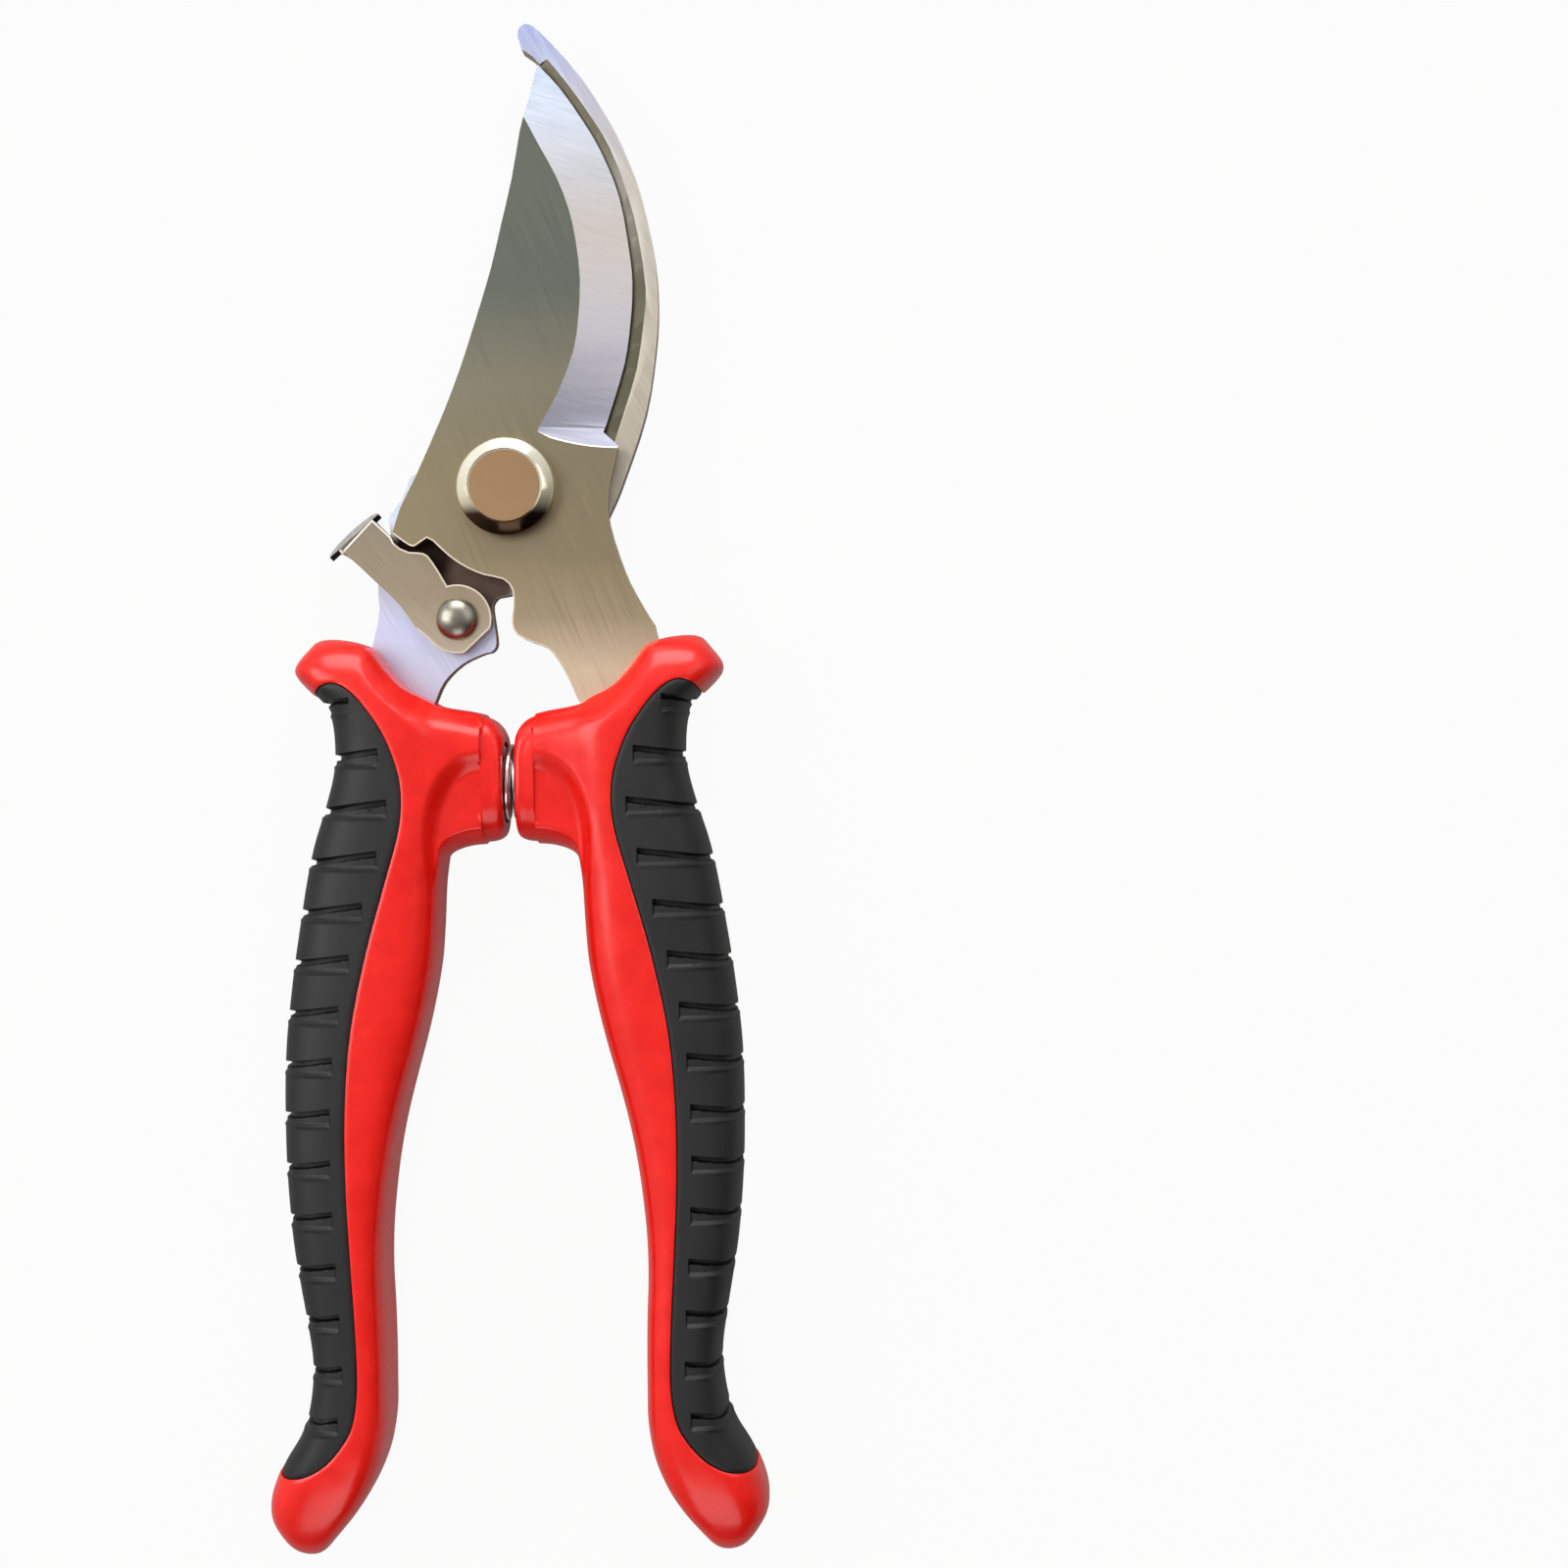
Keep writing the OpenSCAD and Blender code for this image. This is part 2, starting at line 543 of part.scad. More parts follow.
module panels() {
  for (side = [0, 1])
    translate([0, 0, side * 2 * mid_z])
    mirror([0, 0, side])
    intersection() {
      skin([panel_ring(mid_z + panel_h, 1.4), panel_ring(mid_z + panel_h + 1.1, 0.3), panel_ring(mid_z + cut_z, 0)]);
      translate([boss_gap + collar_w, -panel_y - panel_len, mid_z])
      cube([panel_x + panel_w, 2 * panel_len, cut_z]);
    }
}

module tang_pocket(rows, z, t) {
  for (i = [0:len(rows) - 2])
    hull()
    for (j = [i, i + 1])
      translate([rows[j][1] - tang_fit, rows[j][0] - (j == len(rows) - 1 ? 1.8 : 0), z - tang_fit])
      cube([rows[j][2] - rows[j][1] + 2 * tang_fit, 0.3, t + 2 * tang_fit]);
}

module handle_core(rows, z, t) {
  color(red)
  difference() {
    union() {
      difference() {
        form(0, all_rows);
        grip_plan();
      }
      form(grip_t, core_rows);
      skin([for (r = boss_rows) boss_ring(r)]);
    }
    panels();
    translate([-1, -coil_y, mid_z])
    rotate([0, 90, 0])
    cylinder(h = socket_x + 1, r = socket_r, $fn = 40);
    tang_pocket(rows, z, t);
  }
}

module handle_grip() {
  color(black)
  difference() {
    intersection() {
      form(0, all_rows);
      grip_plan();
    }
    form(grip_t, core_rows);
    difference() {
      for (y = groove_rows)
        hull() {
          translate([cut_x, y + groove_out, mid_z - cut_z])
          cylinder(h = 2 * cut_z, r = groove_out, $fn = 4);
          translate([line_x(y) + groove_rim + groove_in, y + groove_in, mid_z - cut_z])
          cylinder(h = 2 * cut_z, r = groove_in, $fn = 8);
        }
      form(groove_d, floor_rows);
    }
  }
}

module blade_handle() {
  handle_core(deep(blade_tang), blade_z, blade_t);
}

module blade_grip() {
  handle_grip();
}

module hook_handle() {
  mirror([1, 0, 0])
  handle_core(deep(hook_tang), hook_z, hook_t);
}

module hook_grip() {
  mirror([1, 0, 0])
  handle_grip();
}

cutting_blade();
hook_blade();
pivot_bolt();
pivot_washer();
pivot_nut();
lock_lever();
lever_washer();
lever_rivet();
return_spring();
blade_handle();
hook_handle();
blade_grip();
hook_grip();
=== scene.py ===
"""Bypass pruning shears, closed and locked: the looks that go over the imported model."""
import math
import bmesh
import bpy
import numpy as np
from mathutils import Matrix, Vector


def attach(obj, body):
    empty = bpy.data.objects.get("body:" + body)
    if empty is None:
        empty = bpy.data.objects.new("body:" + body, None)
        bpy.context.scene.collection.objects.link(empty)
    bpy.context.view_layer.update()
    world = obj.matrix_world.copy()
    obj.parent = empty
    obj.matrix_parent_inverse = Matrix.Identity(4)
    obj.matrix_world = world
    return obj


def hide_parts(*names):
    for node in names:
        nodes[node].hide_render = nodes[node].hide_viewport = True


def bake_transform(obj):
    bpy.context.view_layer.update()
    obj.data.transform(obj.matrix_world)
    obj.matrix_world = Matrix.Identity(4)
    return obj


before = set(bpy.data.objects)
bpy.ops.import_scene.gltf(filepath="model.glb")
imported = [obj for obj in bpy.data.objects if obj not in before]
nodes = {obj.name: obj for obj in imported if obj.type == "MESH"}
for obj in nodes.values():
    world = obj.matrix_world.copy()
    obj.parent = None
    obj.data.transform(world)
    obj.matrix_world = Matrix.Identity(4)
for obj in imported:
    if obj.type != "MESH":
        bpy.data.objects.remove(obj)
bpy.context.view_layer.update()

MM = 0.001
MID_Z = 8.8                  # height in mm of the hook's ground face and of the handles' middle plane

# ---------------------------------------------------------------- materials

NOISE_LOW, NOISE_HIGH = 0.3, 0.7    # nearly all of a noise's values lie between these
LINE_PLAY = (-0.04, 0.05)           # how far the ground lines move the roughness


def srgb(code):
    """A hex colour, turned linear, with full alpha."""
    parts = [int(code[i:i + 2], 16) / 255 for i in (1, 3, 5)]
    return [c / 12.92 if c <= 0.04045 else ((c + 0.055) / 1.055) ** 2.4 for c in parts] + [1.0]


def add(tree, kind, settings=None, stops=(), **inputs):
    """Add one node with its settings, its ramp's stops of (position, hex colour) and its inputs.

    A link is given as (node, output name); anything else is the socket's own value.
    A socket is named with _ for a space, or is i and its number.
    """
    node = tree.nodes.new("ShaderNode" + kind)
    for key, value in (settings or {}).items():
        setattr(node, key, value)
    for key, value in inputs.items():
        numbered = key[0] == "i" and key[1:].isdigit()
        socket = node.inputs[int(key[1:]) if numbered else key.replace("_", " ")]
        if isinstance(value, tuple) and isinstance(value[0], bpy.types.Node):
            tree.links.new(value[0].outputs[value[1]], socket)
        else:
            socket.default_value = value
    if stops:
        marks = node.color_ramp.elements
        while len(marks) < len(stops):
            marks.new(0.5)
        for mark, (position, colour) in zip(marks, stops):
            mark.position = position
            mark.color = srgb(colour)
    return node


def new_material(name):
    """An empty node material, and its tree."""
    material = bpy.data.materials.new(name)
    material.use_nodes = True
    material.node_tree.nodes.clear()
    return material, material.node_tree


def tones_along(tree, tones):
    """Colours that change along Y, from the handles to the tips: tones are (millimetres, hex colour)."""
    low, high = tones[0][0], tones[-1][0]
    axes = add(tree, "SeparateXYZ", Vector=(add(tree, "TexCoord"), "Object"))
    share = add(tree, "MapRange", Value=(axes, "Y"), From_Min=low * MM, From_Max=high * MM)
    stops = [((mm - low) / (high - low), colour) for mm, colour in tones]
    return add(tree, "ValToRGB", stops=stops, Fac=(share, "Result")), "Color"


def spot_tinted(tree, colour, spot, near, far, tint):
    """The colour under a round spot of the tint, which is full at near and gone at far, in mm from its spot.
    """
    gap = add(tree, "VectorMath", {"operation": "DISTANCE"},
              i0=(add(tree, "TexCoord"), "Object"), i1=[c * MM for c in spot])
    share = add(tree, "MapRange", {"interpolation_type": "SMOOTHSTEP"}, Value=(gap, "Value"),
                From_Min=near * MM, From_Max=far * MM, To_Min=1.0, To_Max=0.0)
    return add(tree, "Mix", {"data_type": "RGBA"}, i0=(share, "Result"), i6=colour, i7=srgb(tint)), "Result"


def steel(name, tones, lines, roughness, contrast, depth=0.006, tint_spots=()):
    """Steel with fine parallel lines, over tones that change towards the tips.

    lines is their spacing and their run in mm and how many degrees they are turned from X; contrast is how
    much they darken the steel, and depth their height in mm.
    """
    spacing, run, turn = lines
    material, tree = new_material(name)
    turned_place = add(tree, "Mapping", {"vector_type": "POINT"},
                       Vector=(add(tree, "TexCoord"), "Object"), Rotation=[0, 0, math.radians(turn)])
    stretched = add(tree, "Mapping", {"vector_type": "POINT"}, Vector=(turned_place, "Vector"),
                    Scale=(1 / (run * MM), 1 / (spacing * MM), 1 / (run * MM)))
    grind = add(tree, "TexNoise", Vector=(stretched, "Vector"), Scale=1.0, Detail=3.0, Roughness=0.6)
    colour = tones_along(tree, tones)
    for tint_spot in tint_spots:
        colour = spot_tinted(tree, colour, *tint_spot)
    shade = add(tree, "MapRange", Value=(grind, "Fac"), From_Min=NOISE_LOW, From_Max=NOISE_HIGH,
                To_Min=1 - contrast, To_Max=1.0)
    grey = add(tree, "CombineColor", i0=(shade, "Result"), i1=(shade, "Result"), i2=(shade, "Result"))
    lined = add(tree, "Mix", {"data_type": "RGBA", "blend_type": "MULTIPLY"},
                i0=1.0, i6=colour, i7=(grey, "Color"))
    gloss = add(tree, "MapRange", Value=(grind, "Fac"), From_Min=NOISE_LOW, From_Max=NOISE_HIGH,
                To_Min=roughness + LINE_PLAY[0], To_Max=roughness + LINE_PLAY[1])
    bump = add(tree, "Bump", Height=(grind, "Fac"), Strength=0.3, Distance=depth * MM)
    shader = add(tree, "BsdfPrincipled", Base_Color=(lined, "Result"), Metallic=1.0,
                 Roughness=(gloss, "Result"), Normal=(bump, "Normal"))
    add(tree, "OutputMaterial", Surface=(shader, "BSDF"))
    return material


def red_polypropylene():
    """Injection-moulded polypropylene: an even, glossy red whose highlights waver on a faint ripple."""
    material, tree = new_material("moulded red polypropylene")
    ripple = add(tree, "TexNoise", Vector=(add(tree, "TexCoord"), "Object"),
                 Scale=1 / (3 * MM), Detail=2.0, Roughness=0.5)
    colour = add(tree, "ValToRGB", Fac=(ripple, "Fac"),
                 stops=[(NOISE_LOW, "#dd150d"), (NOISE_HIGH, "#e81b12")])
    gloss = add(tree, "MapRange", Value=(ripple, "Fac"), From_Min=NOISE_LOW, From_Max=NOISE_HIGH,
                To_Min=0.22, To_Max=0.28)
    bump = add(tree, "Bump", Height=(ripple, "Fac"), Strength=0.2, Distance=0.02 * MM)
    shader = add(tree, "BsdfPrincipled", Base_Color=(colour, "Color"), Roughness=(gloss, "Result"),
                 IOR=1.49, Normal=(bump, "Normal"))
    add(tree, "OutputMaterial", Surface=(shader, "BSDF"))
    return material


def black_rubber():
    """Over-moulded thermoplastic rubber: matt charcoal, whose spark-eroded grain softens the highlights."""
    material, tree = new_material("charcoal thermoplastic rubber")
    where = (add(tree, "TexCoord"), "Object")
    # the grain is drawn at 0.35 mm, coarser than the real 0.1 mm, so that it shows
    grain = add(tree, "TexNoise", Vector=where, Scale=1 / (0.35 * MM), Detail=2.0)
    haze = add(tree, "TexNoise", Vector=where, Scale=1 / (9 * MM), Detail=2.0)
    colour = add(tree, "ValToRGB", Fac=(haze, "Fac"),
                 stops=[(NOISE_LOW, "#08090a"), (NOISE_HIGH, "#0f0f11")])
    gloss = add(tree, "MapRange", Value=(haze, "Fac"), From_Min=NOISE_LOW, From_Max=NOISE_HIGH,
                To_Min=0.48, To_Max=0.58)
    bump = add(tree, "Bump", Height=(grain, "Fac"), Strength=0.4, Distance=0.02 * MM)
    shader = add(tree, "BsdfPrincipled", Base_Color=(colour, "Color"), Roughness=(gloss, "Result"),
                 IOR=1.5, Normal=(bump, "Normal"))
    add(tree, "OutputMaterial", Surface=(shader, "BSDF"))
    return material


# each steel's lines are (spacing, run, turn), then come its roughness and contrast; the real lines are a few
# hundredths of a millimetre apart, and these are drawn coarser so that they show
FINISH = {
    # a satin olive grey that warms towards the heel, with long slanting lines; on the heel the two tones
    # nearest the handles are lightened to pale cream, a painted sheen
    "blade flat": steel("ground high-carbon steel", [
        # painted sheen: the first two tones, on the heel
        (-24, "#ecd4b6"), (-17, "#b7a486"), (-9, "#9c8e73"), (4, "#94896f"),
        (14, "#8d8875"), (26, "#6f746c"), (44, "#6f746b"), (55, "#6b6a5e")], (0.22, 12, 68), 0.38, 0.06),
    # the cutting bevel: bright and cool, with the plainest lines
    "blade grind": steel("surface-ground blade bevel", [
        (5, "#d6d6ec"), (20, "#ccc9d0"), (34, "#c6bfb8"), (56, "#d0def4")], (0.22, 6, 15), 0.34, 0.16),
    # the plates' cut sides: duller and browner than their faces
    "steel side": steel("sheared steel side", [(-30, "#9c8a74"), (60, "#a3998c")], (0.3, 3, 90), 0.42, 0.15),
    # where an edge was broken and tumbled it is a thin line; its almost white colour is a painted highlight,
    # the light that the edge catches
    "edge highlight": steel("broken edge with painted highlight", [(-30, "#f8f3e9"), (60, "#f4f1ec")],
                           (0.3, 3, 0), 0.42, 0.04),
    # the same line with a fainter painted highlight
    "faint edge highlight": steel("broken edge with faint painted highlight", [(-30, "#e6d6c2"), (60, "#ddd0be")], (0.3, 3, 0), 0.42, 0.04),
    # the hook's face is paler than the blade's and bluish at both ends; it has a pale bluish spot at its left
    # edge, and dark spots by the latch that are painted shadow, the shade that the cutting blade and the
    # lever throw on it
    "hook flat": steel("ground hook steel", [
        (-27, "#e4e6ff"), (-17, "#dcdefc"), (-5, "#c9c1b2"), (10, "#d0c7b6"),
        (40, "#d6d0c6"), (52, "#c9c8d6"), (61, "#b4bfe8")], (0.3, 9, 62), 0.38, 0.1, tint_spots=[
            ((-15.5, -0.5, MID_Z), 3.0, 6.0, "#e3ecff"),
            # painted shadow: the shade of the cutting blade and the lever beside the latch
            ((-5.0, -12.3, MID_Z), 4.6, 6.6, "#62534a"),
            ((-11.2, -8.6, MID_Z), 2.6, 4.6, "#2c221d"),
            ((-13.6, -7.2, MID_Z), 0.9, 2.6, "#231b17")]),
    # the hollow beside the shearing edge: the dull brown grey of a coarse wheel, darkened further to paint
    # the shade that the cutting blade throws into it
    "hook relief": steel("hollow-ground hook relief, darkened as painted shade", [
        (5, "#5d594a"), (27, "#635f51"), (33, "#7f7c72"), (40, "#858177"), (47, "#6d695a"), (60, "#716d5d")],
        (0.22, 5, 20), 0.5, 0.12),
    # the bolt's rim is almost a mirror; its tones paint a reflection, near black on the side towards the
    # handles and near white beyond
    "rim": steel("polished bolt rim with painted reflection", [
        (-6.3, "#3a2a20"), (-3.6, "#4a382b"), (-2.3, "#efe2c4"), (-1.2, "#fff6dc"), (7, "#fffbec")],
        (0.5, 8, 0), 0.16, 0.03, depth=0.002),
    # the bolt's flat top: a warm bronze grey under a fine straight brush
    "bolt flat": steel("brushed bolt head", [(-5, "#ab8a69"), (5, "#a58564")], (0.14, 5, 25), 0.42, 0.045),
    # washers and nut: an even light grey plating
    "zinc": steel("zinc-plated steel", [(-30, "#a9a8a1"), (30, "#b4b3ac")], (0.5, 2, 0), 0.38, 0.12),
    # the lever's sheet: warm grey, lighter towards its rivet
    "lever": steel("pressed lever steel", [(-21, "#c8b8a4"), (-14, "#ab9b84"), (-4, "#9a8f7c")],
                   (0.2, 7, 45), 0.38, 0.07),
    # the sheared ends of its ears stand in shade; their nearly black colour is painted shadow
    "ear": steel("sheared lever ear in painted shadow", [(-21, "#2a2827"), (-4, "#312f2e")], (0.25, 7, 45), 0.45, 0.12),
    # the tab's bend is nearly white: a painted highlight, the light that the bend catches
    "tab": steel("bent lever tab with painted highlight", [(-21, "#e2e0dd"), (-4, "#e8e6e3")], (0.25, 7, 45), 0.4, 0.12),
    # a satin dome with one soft highlight; its tone is painted shading, darker on the side towards the
    # handles and lighter on the side towards the blades
    "rivet": steel("satin rivet steel", [(-20, "#8c887d"), (-14, "#9a968b")], (0.3, 3, 0), 0.3, 0.05),
    # drawn wire: bright and smooth, with sharp highlights
    "spring": steel("drawn spring wire", [(-44, "#e2dcda"), (-32, "#e8e2e0")],
                    (0.3, 4, 0), 0.22, 0.08, depth=0.003),
    "red": red_polypropylene(),
    "black": black_rubber(),
}

# ---------------------------------------------------------------- shaping helpers

FLAT_FACE = 0.9995           # upward share of a flat face's normal
FLAT_TOP = 0.999             # the same, for a face that was worked on
SIDE_FACE = 0.2              # most of it that a side wall has
MERGE_MM = 0.001


def finish_piece(bm, name, finishes, body, replaced, sharp):
    """Make the piece from a mesh in mm, give it its finishes, hide the parts that it takes the place of, and
    hang it on its body.
    """
    bmesh.ops.transform(bm, matrix=Matrix.Scale(MM, 4), verts=bm.verts)
    for face in bm.faces:
        face.smooth = True
    mesh = bpy.data.meshes.new(name)
    bm.to_mesh(mesh)
    bm.free()
    mesh.set_sharp_from_angle(angle=math.radians(sharp))
    for finish in finishes:
        mesh.materials.append(FINISH[finish])
    piece = bpy.data.objects.new(name, mesh)
    bpy.context.scene.collection.objects.link(piece)
    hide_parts(*replaced)
    if body:
        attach(piece, body)
    return piece


def node_copy(node):
    """A CAD node's mesh in millimetres, with its doubles merged and its flat faces joined."""
    bm = bmesh.new()
    bm.from_mesh(nodes[node].data)
    bmesh.ops.transform(bm, matrix=Matrix.Scale(1 / MM, 4), verts=bm.verts)
    bmesh.ops.remove_doubles(bm, verts=bm.verts, dist=0.002)
    bmesh.ops.dissolve_limit(bm, angle_limit=math.radians(0.4), verts=bm.verts, edges=bm.edges)
    return bm


def break_edges(bm, width, wanted, finish, segments=2):
    """Round the edges that the test picks, and give the rounding its own finish."""
    edges = [e for e in bm.edges if wanted(e)]
    rounding = bmesh.ops.bevel(bm, geom=edges, offset=width, offset_type="OFFSET", segments=segments,
                               profile=0.5, affect="EDGES", clamp_overlap=True, material=-1)
    for face in rounding["faces"]:
        face.material_index = finish


def rim_edge(edge):
    """An edge between a flat face and a side wall."""
    if len(edge.link_faces) != 2:
        return False
    slopes = sorted(abs(f.normal.z) for f in edge.link_faces)
    return slopes[0] < SIDE_FACE and slopes[1] > FLAT_FACE


def highlight_strip(bm, width, wanted, finish, even=True):
    """A strip of the flat faces along their outline, given a finish that paints a highlight along the broken
    edge.
    """
    faces = [f for f in bm.faces if wanted(f)]
    strip = bmesh.ops.inset_region(bm, faces=faces, thickness=width, use_boundary=True, use_even_offset=even)
    for face in strip["faces"]:
        face.material_index = finish


def turned(profile, centre=(0, 0), steps=96):
    """A turned piece: the profile of (radius, height) spun round an upright axis."""
    bm = bmesh.new()
    line = [bm.verts.new((r, 0, z)) for r, z in profile]
    edges = [bm.edges.new(pair) for pair in zip(line, line[1:])]
    bmesh.ops.spin(bm, geom=line + edges, axis=(0, 0, 1), cent=(0, 0, 0), angle=math.tau, steps=steps,
                   use_merge=True)
    bmesh.ops.remove_doubles(bm, verts=bm.verts, dist=MERGE_MM)
    bmesh.ops.recalc_face_normals(bm, faces=bm.faces)
    bmesh.ops.translate(bm, verts=bm.verts, vec=(*centre, 0))
    return bm


def span(rows, at):
    """One row of a smooth curve through the rows; at counts rows from the first."""
    rows = np.asarray(rows, dtype=float)
    last = len(rows) - 1
    i = int(min(max(math.floor(at), 0), last - 1))
    t = at - i
    a, b, c, d = (rows[min(max(i + k, 0), last)] for k in (-1, 0, 1, 2))
    return 0.5 * (2 * b + (c - a) * t + (2 * a - 5 * b + 4 * c - d) * t ** 2
                  + (3 * b - a - 3 * c + d) * t ** 3)


def smooth_loop(points, steps=4):
    """The same line with more points, for a soft curve."""
    return [tuple(span(points, k / steps)) for k in range((len(points) - 1) * steps + 1)]


def signed_power(value, power):
    """A power that keeps the sign."""
    return math.copysign(abs(value) ** power, value)


def lofted(rows, section, along, around):
    """A closed loft: a grid is rolled round the rows, and one more ring at each end folds flat to shut it."""
    bm = bmesh.new()
    bmesh.ops.create_grid(bm, x_segments=along + 2, y_segments=around, size=0.5)
    low = min(v.co.x for v in bm.verts)
    high = max(v.co.x for v in bm.verts)
    for v in bm.verts:
        k = (v.co.x - low) / (high - low) * (along + 2) - 1
        turn = math.tau * (v.co.y - low) / (high - low)
        inside = min(max(k, 0), along)
        row = span(rows, inside / along * (len(rows) - 1))
        point = section(row, turn)
        if k != inside:
            point = (point + section(row, turn + math.pi)) / 2
        v.co = point
    bmesh.ops.remove_doubles(bm, verts=bm.verts, dist=MERGE_MM)
    bmesh.ops.recalc_face_normals(bm, faces=bm.faces)
    return bm


def places(bm):
    """Where the corners lie, as an array."""
    bm.verts.index_update()
    return np.array([v.co for v in bm.verts])


def middles(faces):
    """Where the middles of faces lie, as an array."""
    return np.array([f.calc_center_median() for f in faces])


def cut(bm, field, near=0.22):
    """Cut the skin along the line where a field of the place is zero.

    A corner nearer to the line than the share near of its edge slides onto it; other edges are split there.
    """
    value = field(places(bm))
    crossing = [e for e in bm.edges if value[e.verts[0].index] * value[e.verts[1].index] < 0]
    line = []
    for edge in crossing:
        a, b = edge.verts
        va, vb = value[a.index], value[b.index]
        if va * vb >= 0:
            continue
        share = va / (va - vb)
        if share < near:
            a.co = a.co.lerp(b.co, share)
            value[a.index] = 0
            line.append(a)
        elif share > 1 - near:
            b.co = a.co.lerp(b.co, share)
            value[b.index] = 0
            line.append(b)
    for edge in crossing:
        a, b = edge.verts
        va, vb = value[a.index], value[b.index]
        if va * vb < 0:
            line.append(bmesh.utils.edge_split(edge, a, va / (va - vb))[1])
    bmesh.ops.connect_verts(bm, verts=line)


def line_gap(points, line):
    """How far each point lies, in the plan, from an open line."""
    p = points[:, None, :2]
    a, b = (np.asarray(part, dtype=float)[None] for part in (line[:-1], line[1:]))
    share = np.clip(((p - a) * (b - a)).sum(2) / ((b - a) ** 2).sum(2), 0, 1)
    return np.sqrt((((p - a) - share[..., None] * (b - a)) ** 2).sum(2)).min(1)


def loop_distance(points, loop):
    """How far inside a closed line of the plan each point lies; outside it is negative."""
    x, y = points[:, None, 0], points[:, None, 1]
    ax, ay = np.asarray(loop, dtype=float).T
    bx, by = np.roll(ax, -1), np.roll(ay, -1)
    rise = np.where(by == ay, 1e-9, by - ay)
    crosses = (ay > y) != (by > y)
    inside = (crosses & (x < ax + (y - ay) * (bx - ax) / rise)).sum(1) % 2 == 1
    gap = line_gap(points, [*loop, loop[0]])
    return np.where(inside, gap, -gap)


def sink(bm, depth_of):
    """Move each corner inwards, along the skin's normal, by a depth that depends on its place and normal."""
    bm.normal_update()
    depth = depth_of(places(bm), np.array([v.normal for v in bm.verts]))
    for v in bm.verts:
        if depth[v.index]:
            v.co -= v.normal * depth[v.index]


def pull(bm, faces, move):
    """Extrude faces, move the corners of their new copies one by one, and take the old faces away."""
    for part in bmesh.ops.extrude_face_region(bm, geom=faces)["geom"]:
        if isinstance(part, bmesh.types.BMVert):
            move(part)
    bmesh.ops.delete(bm, geom=faces, context="FACES")


def mirrored(bm):
    """The same piece for the left side."""
    other = bm.copy()
    bmesh.ops.scale(other, vec=(-1, 1, 1), verts=other.verts)
    bmesh.ops.reverse_faces(other, faces=other.faces)
    return other


# ---------------------------------------------------------------- handles, drawn for the right side

# rows of the handle's form: height, inner side, outer side, half thickness
FORM_ROWS = [
    (-19.35, 22.4, 24.6, 2.2), (-19.75, 20.1, 25.4, 4.0), (-20.6, 17.8, 26.0, 5.8), (-22.0, 16.7, 27.2, 7.2),
    (-23.4, 15.7, 28.0, 7.9), (-24.6, 14.7, 27.5, 8.2), (-26.2, 13.0, 26.0, 8.5), (-28.2, 9.5, 24.0, 8.7),
    (-31, 8.4, 23.1, 8.8), (-36, 8.2, 23.0, 8.8), (-41, 8.2, 24.2, 8.8), (-46, 8.5, 25.8, 8.8),
    (-51, 9.2, 26.9, 8.8), (-56.4, 9.5, 27.8, 8.8), (-61.5, 9.9, 28.6, 8.8), (-67, 10.9, 29.3, 8.8),
    (-72, 12.1, 29.8, 8.8), (-77, 13.5, 30.0, 8.8), (-82, 14.8, 30.0, 8.8), (-87, 15.8, 29.9, 8.8),
    (-92, 16.5, 29.6, 8.8), (-97.5, 17.0, 29.1, 8.8), (-102.6, 17.1, 28.3, 8.8), (-107.8, 16.9, 27.4, 8.8),
    (-113, 16.8, 26.7, 8.8), (-117.5, 16.8, 27.0, 8.8), (-120.7, 16.8, 27.7, 8.8), (-123.3, 17.1, 28.8, 8.8),
    (-125.8, 17.6, 30.4, 8.7), (-128.3, 18.5, 31.6, 8.5), (-130.9, 19.8, 32.4, 8.1),
    (-133.5, 21.6, 32.3, 7.4), (-136.0, 23.7, 30.9, 6.2), (-137.6, 25.0, 29.6, 4.6),
    (-138.6, 26.2, 28.0, 2.4)]
# rows of the boss that holds the spring: distance from the middle, top, bottom, half thickness
BOSS_ROWS = [
    (0.8, -32.2, -45.2, 6.6), (1.1, -31.4, -45.8, 7.1), (1.6, -30.6, -46.1, 7.4), (2.4, -29.8, -46.3, 7.6),
    (3.6, -29.3, -46.4, 7.7), (5.2, -28.95, -46.5, 7.8), (8.0, -28.5, -47.4, 8.1), (10.0, -28.0, -49.5, 8.4),
    (12.8, -27.4, -52.0, 8.6), (15.5, -27.0, -53.0, 8.7)]
# the line round the black grip, from the outer side over its top, down the red body and round the tail
GRIP_EDGE = [
    (25.2, -27.0), (24.2, -25.9), (23.1, -25.35), (22.0, -25.25), (20.8, -25.7), (19.4, -26.8), (17.9, -28.5),
    (15.8, -31.6), (14.2, -35.4), (13.4, -39.2), (13.7, -44.2), (15.7, -51.4), (18.2, -60.3), (20.3, -70.5),
    (21.1, -80.5), (21.1, -90.2), (20.6, -100.4), (20.1, -109.2), (20.0, -116.0), (20.7, -120.5),
    (22.2, -123.2), (24.2, -125.4), (26.7, -126.85), (29.1, -127.35), (31.3, -127.3)]
# the contour beside the blades, above which both faces slope away
RIDGE = [
    (17.2, -21.0), (16.7, -22.0), (15.7, -23.4), (14.7, -24.6), (13.0, -26.2), (11.2, -27.4), (9.5, -28.2),
    (6.5, -28.75), (3.6, -29.3)]
RIDGE_IN = 2.8               # how far inside that contour the ridge runs
RIDGE_FALL = (1.15, 0.8)     # how steeply the faces fall outside the ridge, and how they rise inside it
RIDGE_SOFT = 0.3             # roundness of the ridge

OUTER_N = 3.0                # exponent of the section on its outer side
INNER_N = 4.4                # the inner side is boxier
BOSS_TOP_N = 4.5             # the boss is boxy towards the blades and round towards the hand
BOSS_LOW_N = 2.6
SKIN_MM = 0.42               # spacing of the handle's skin

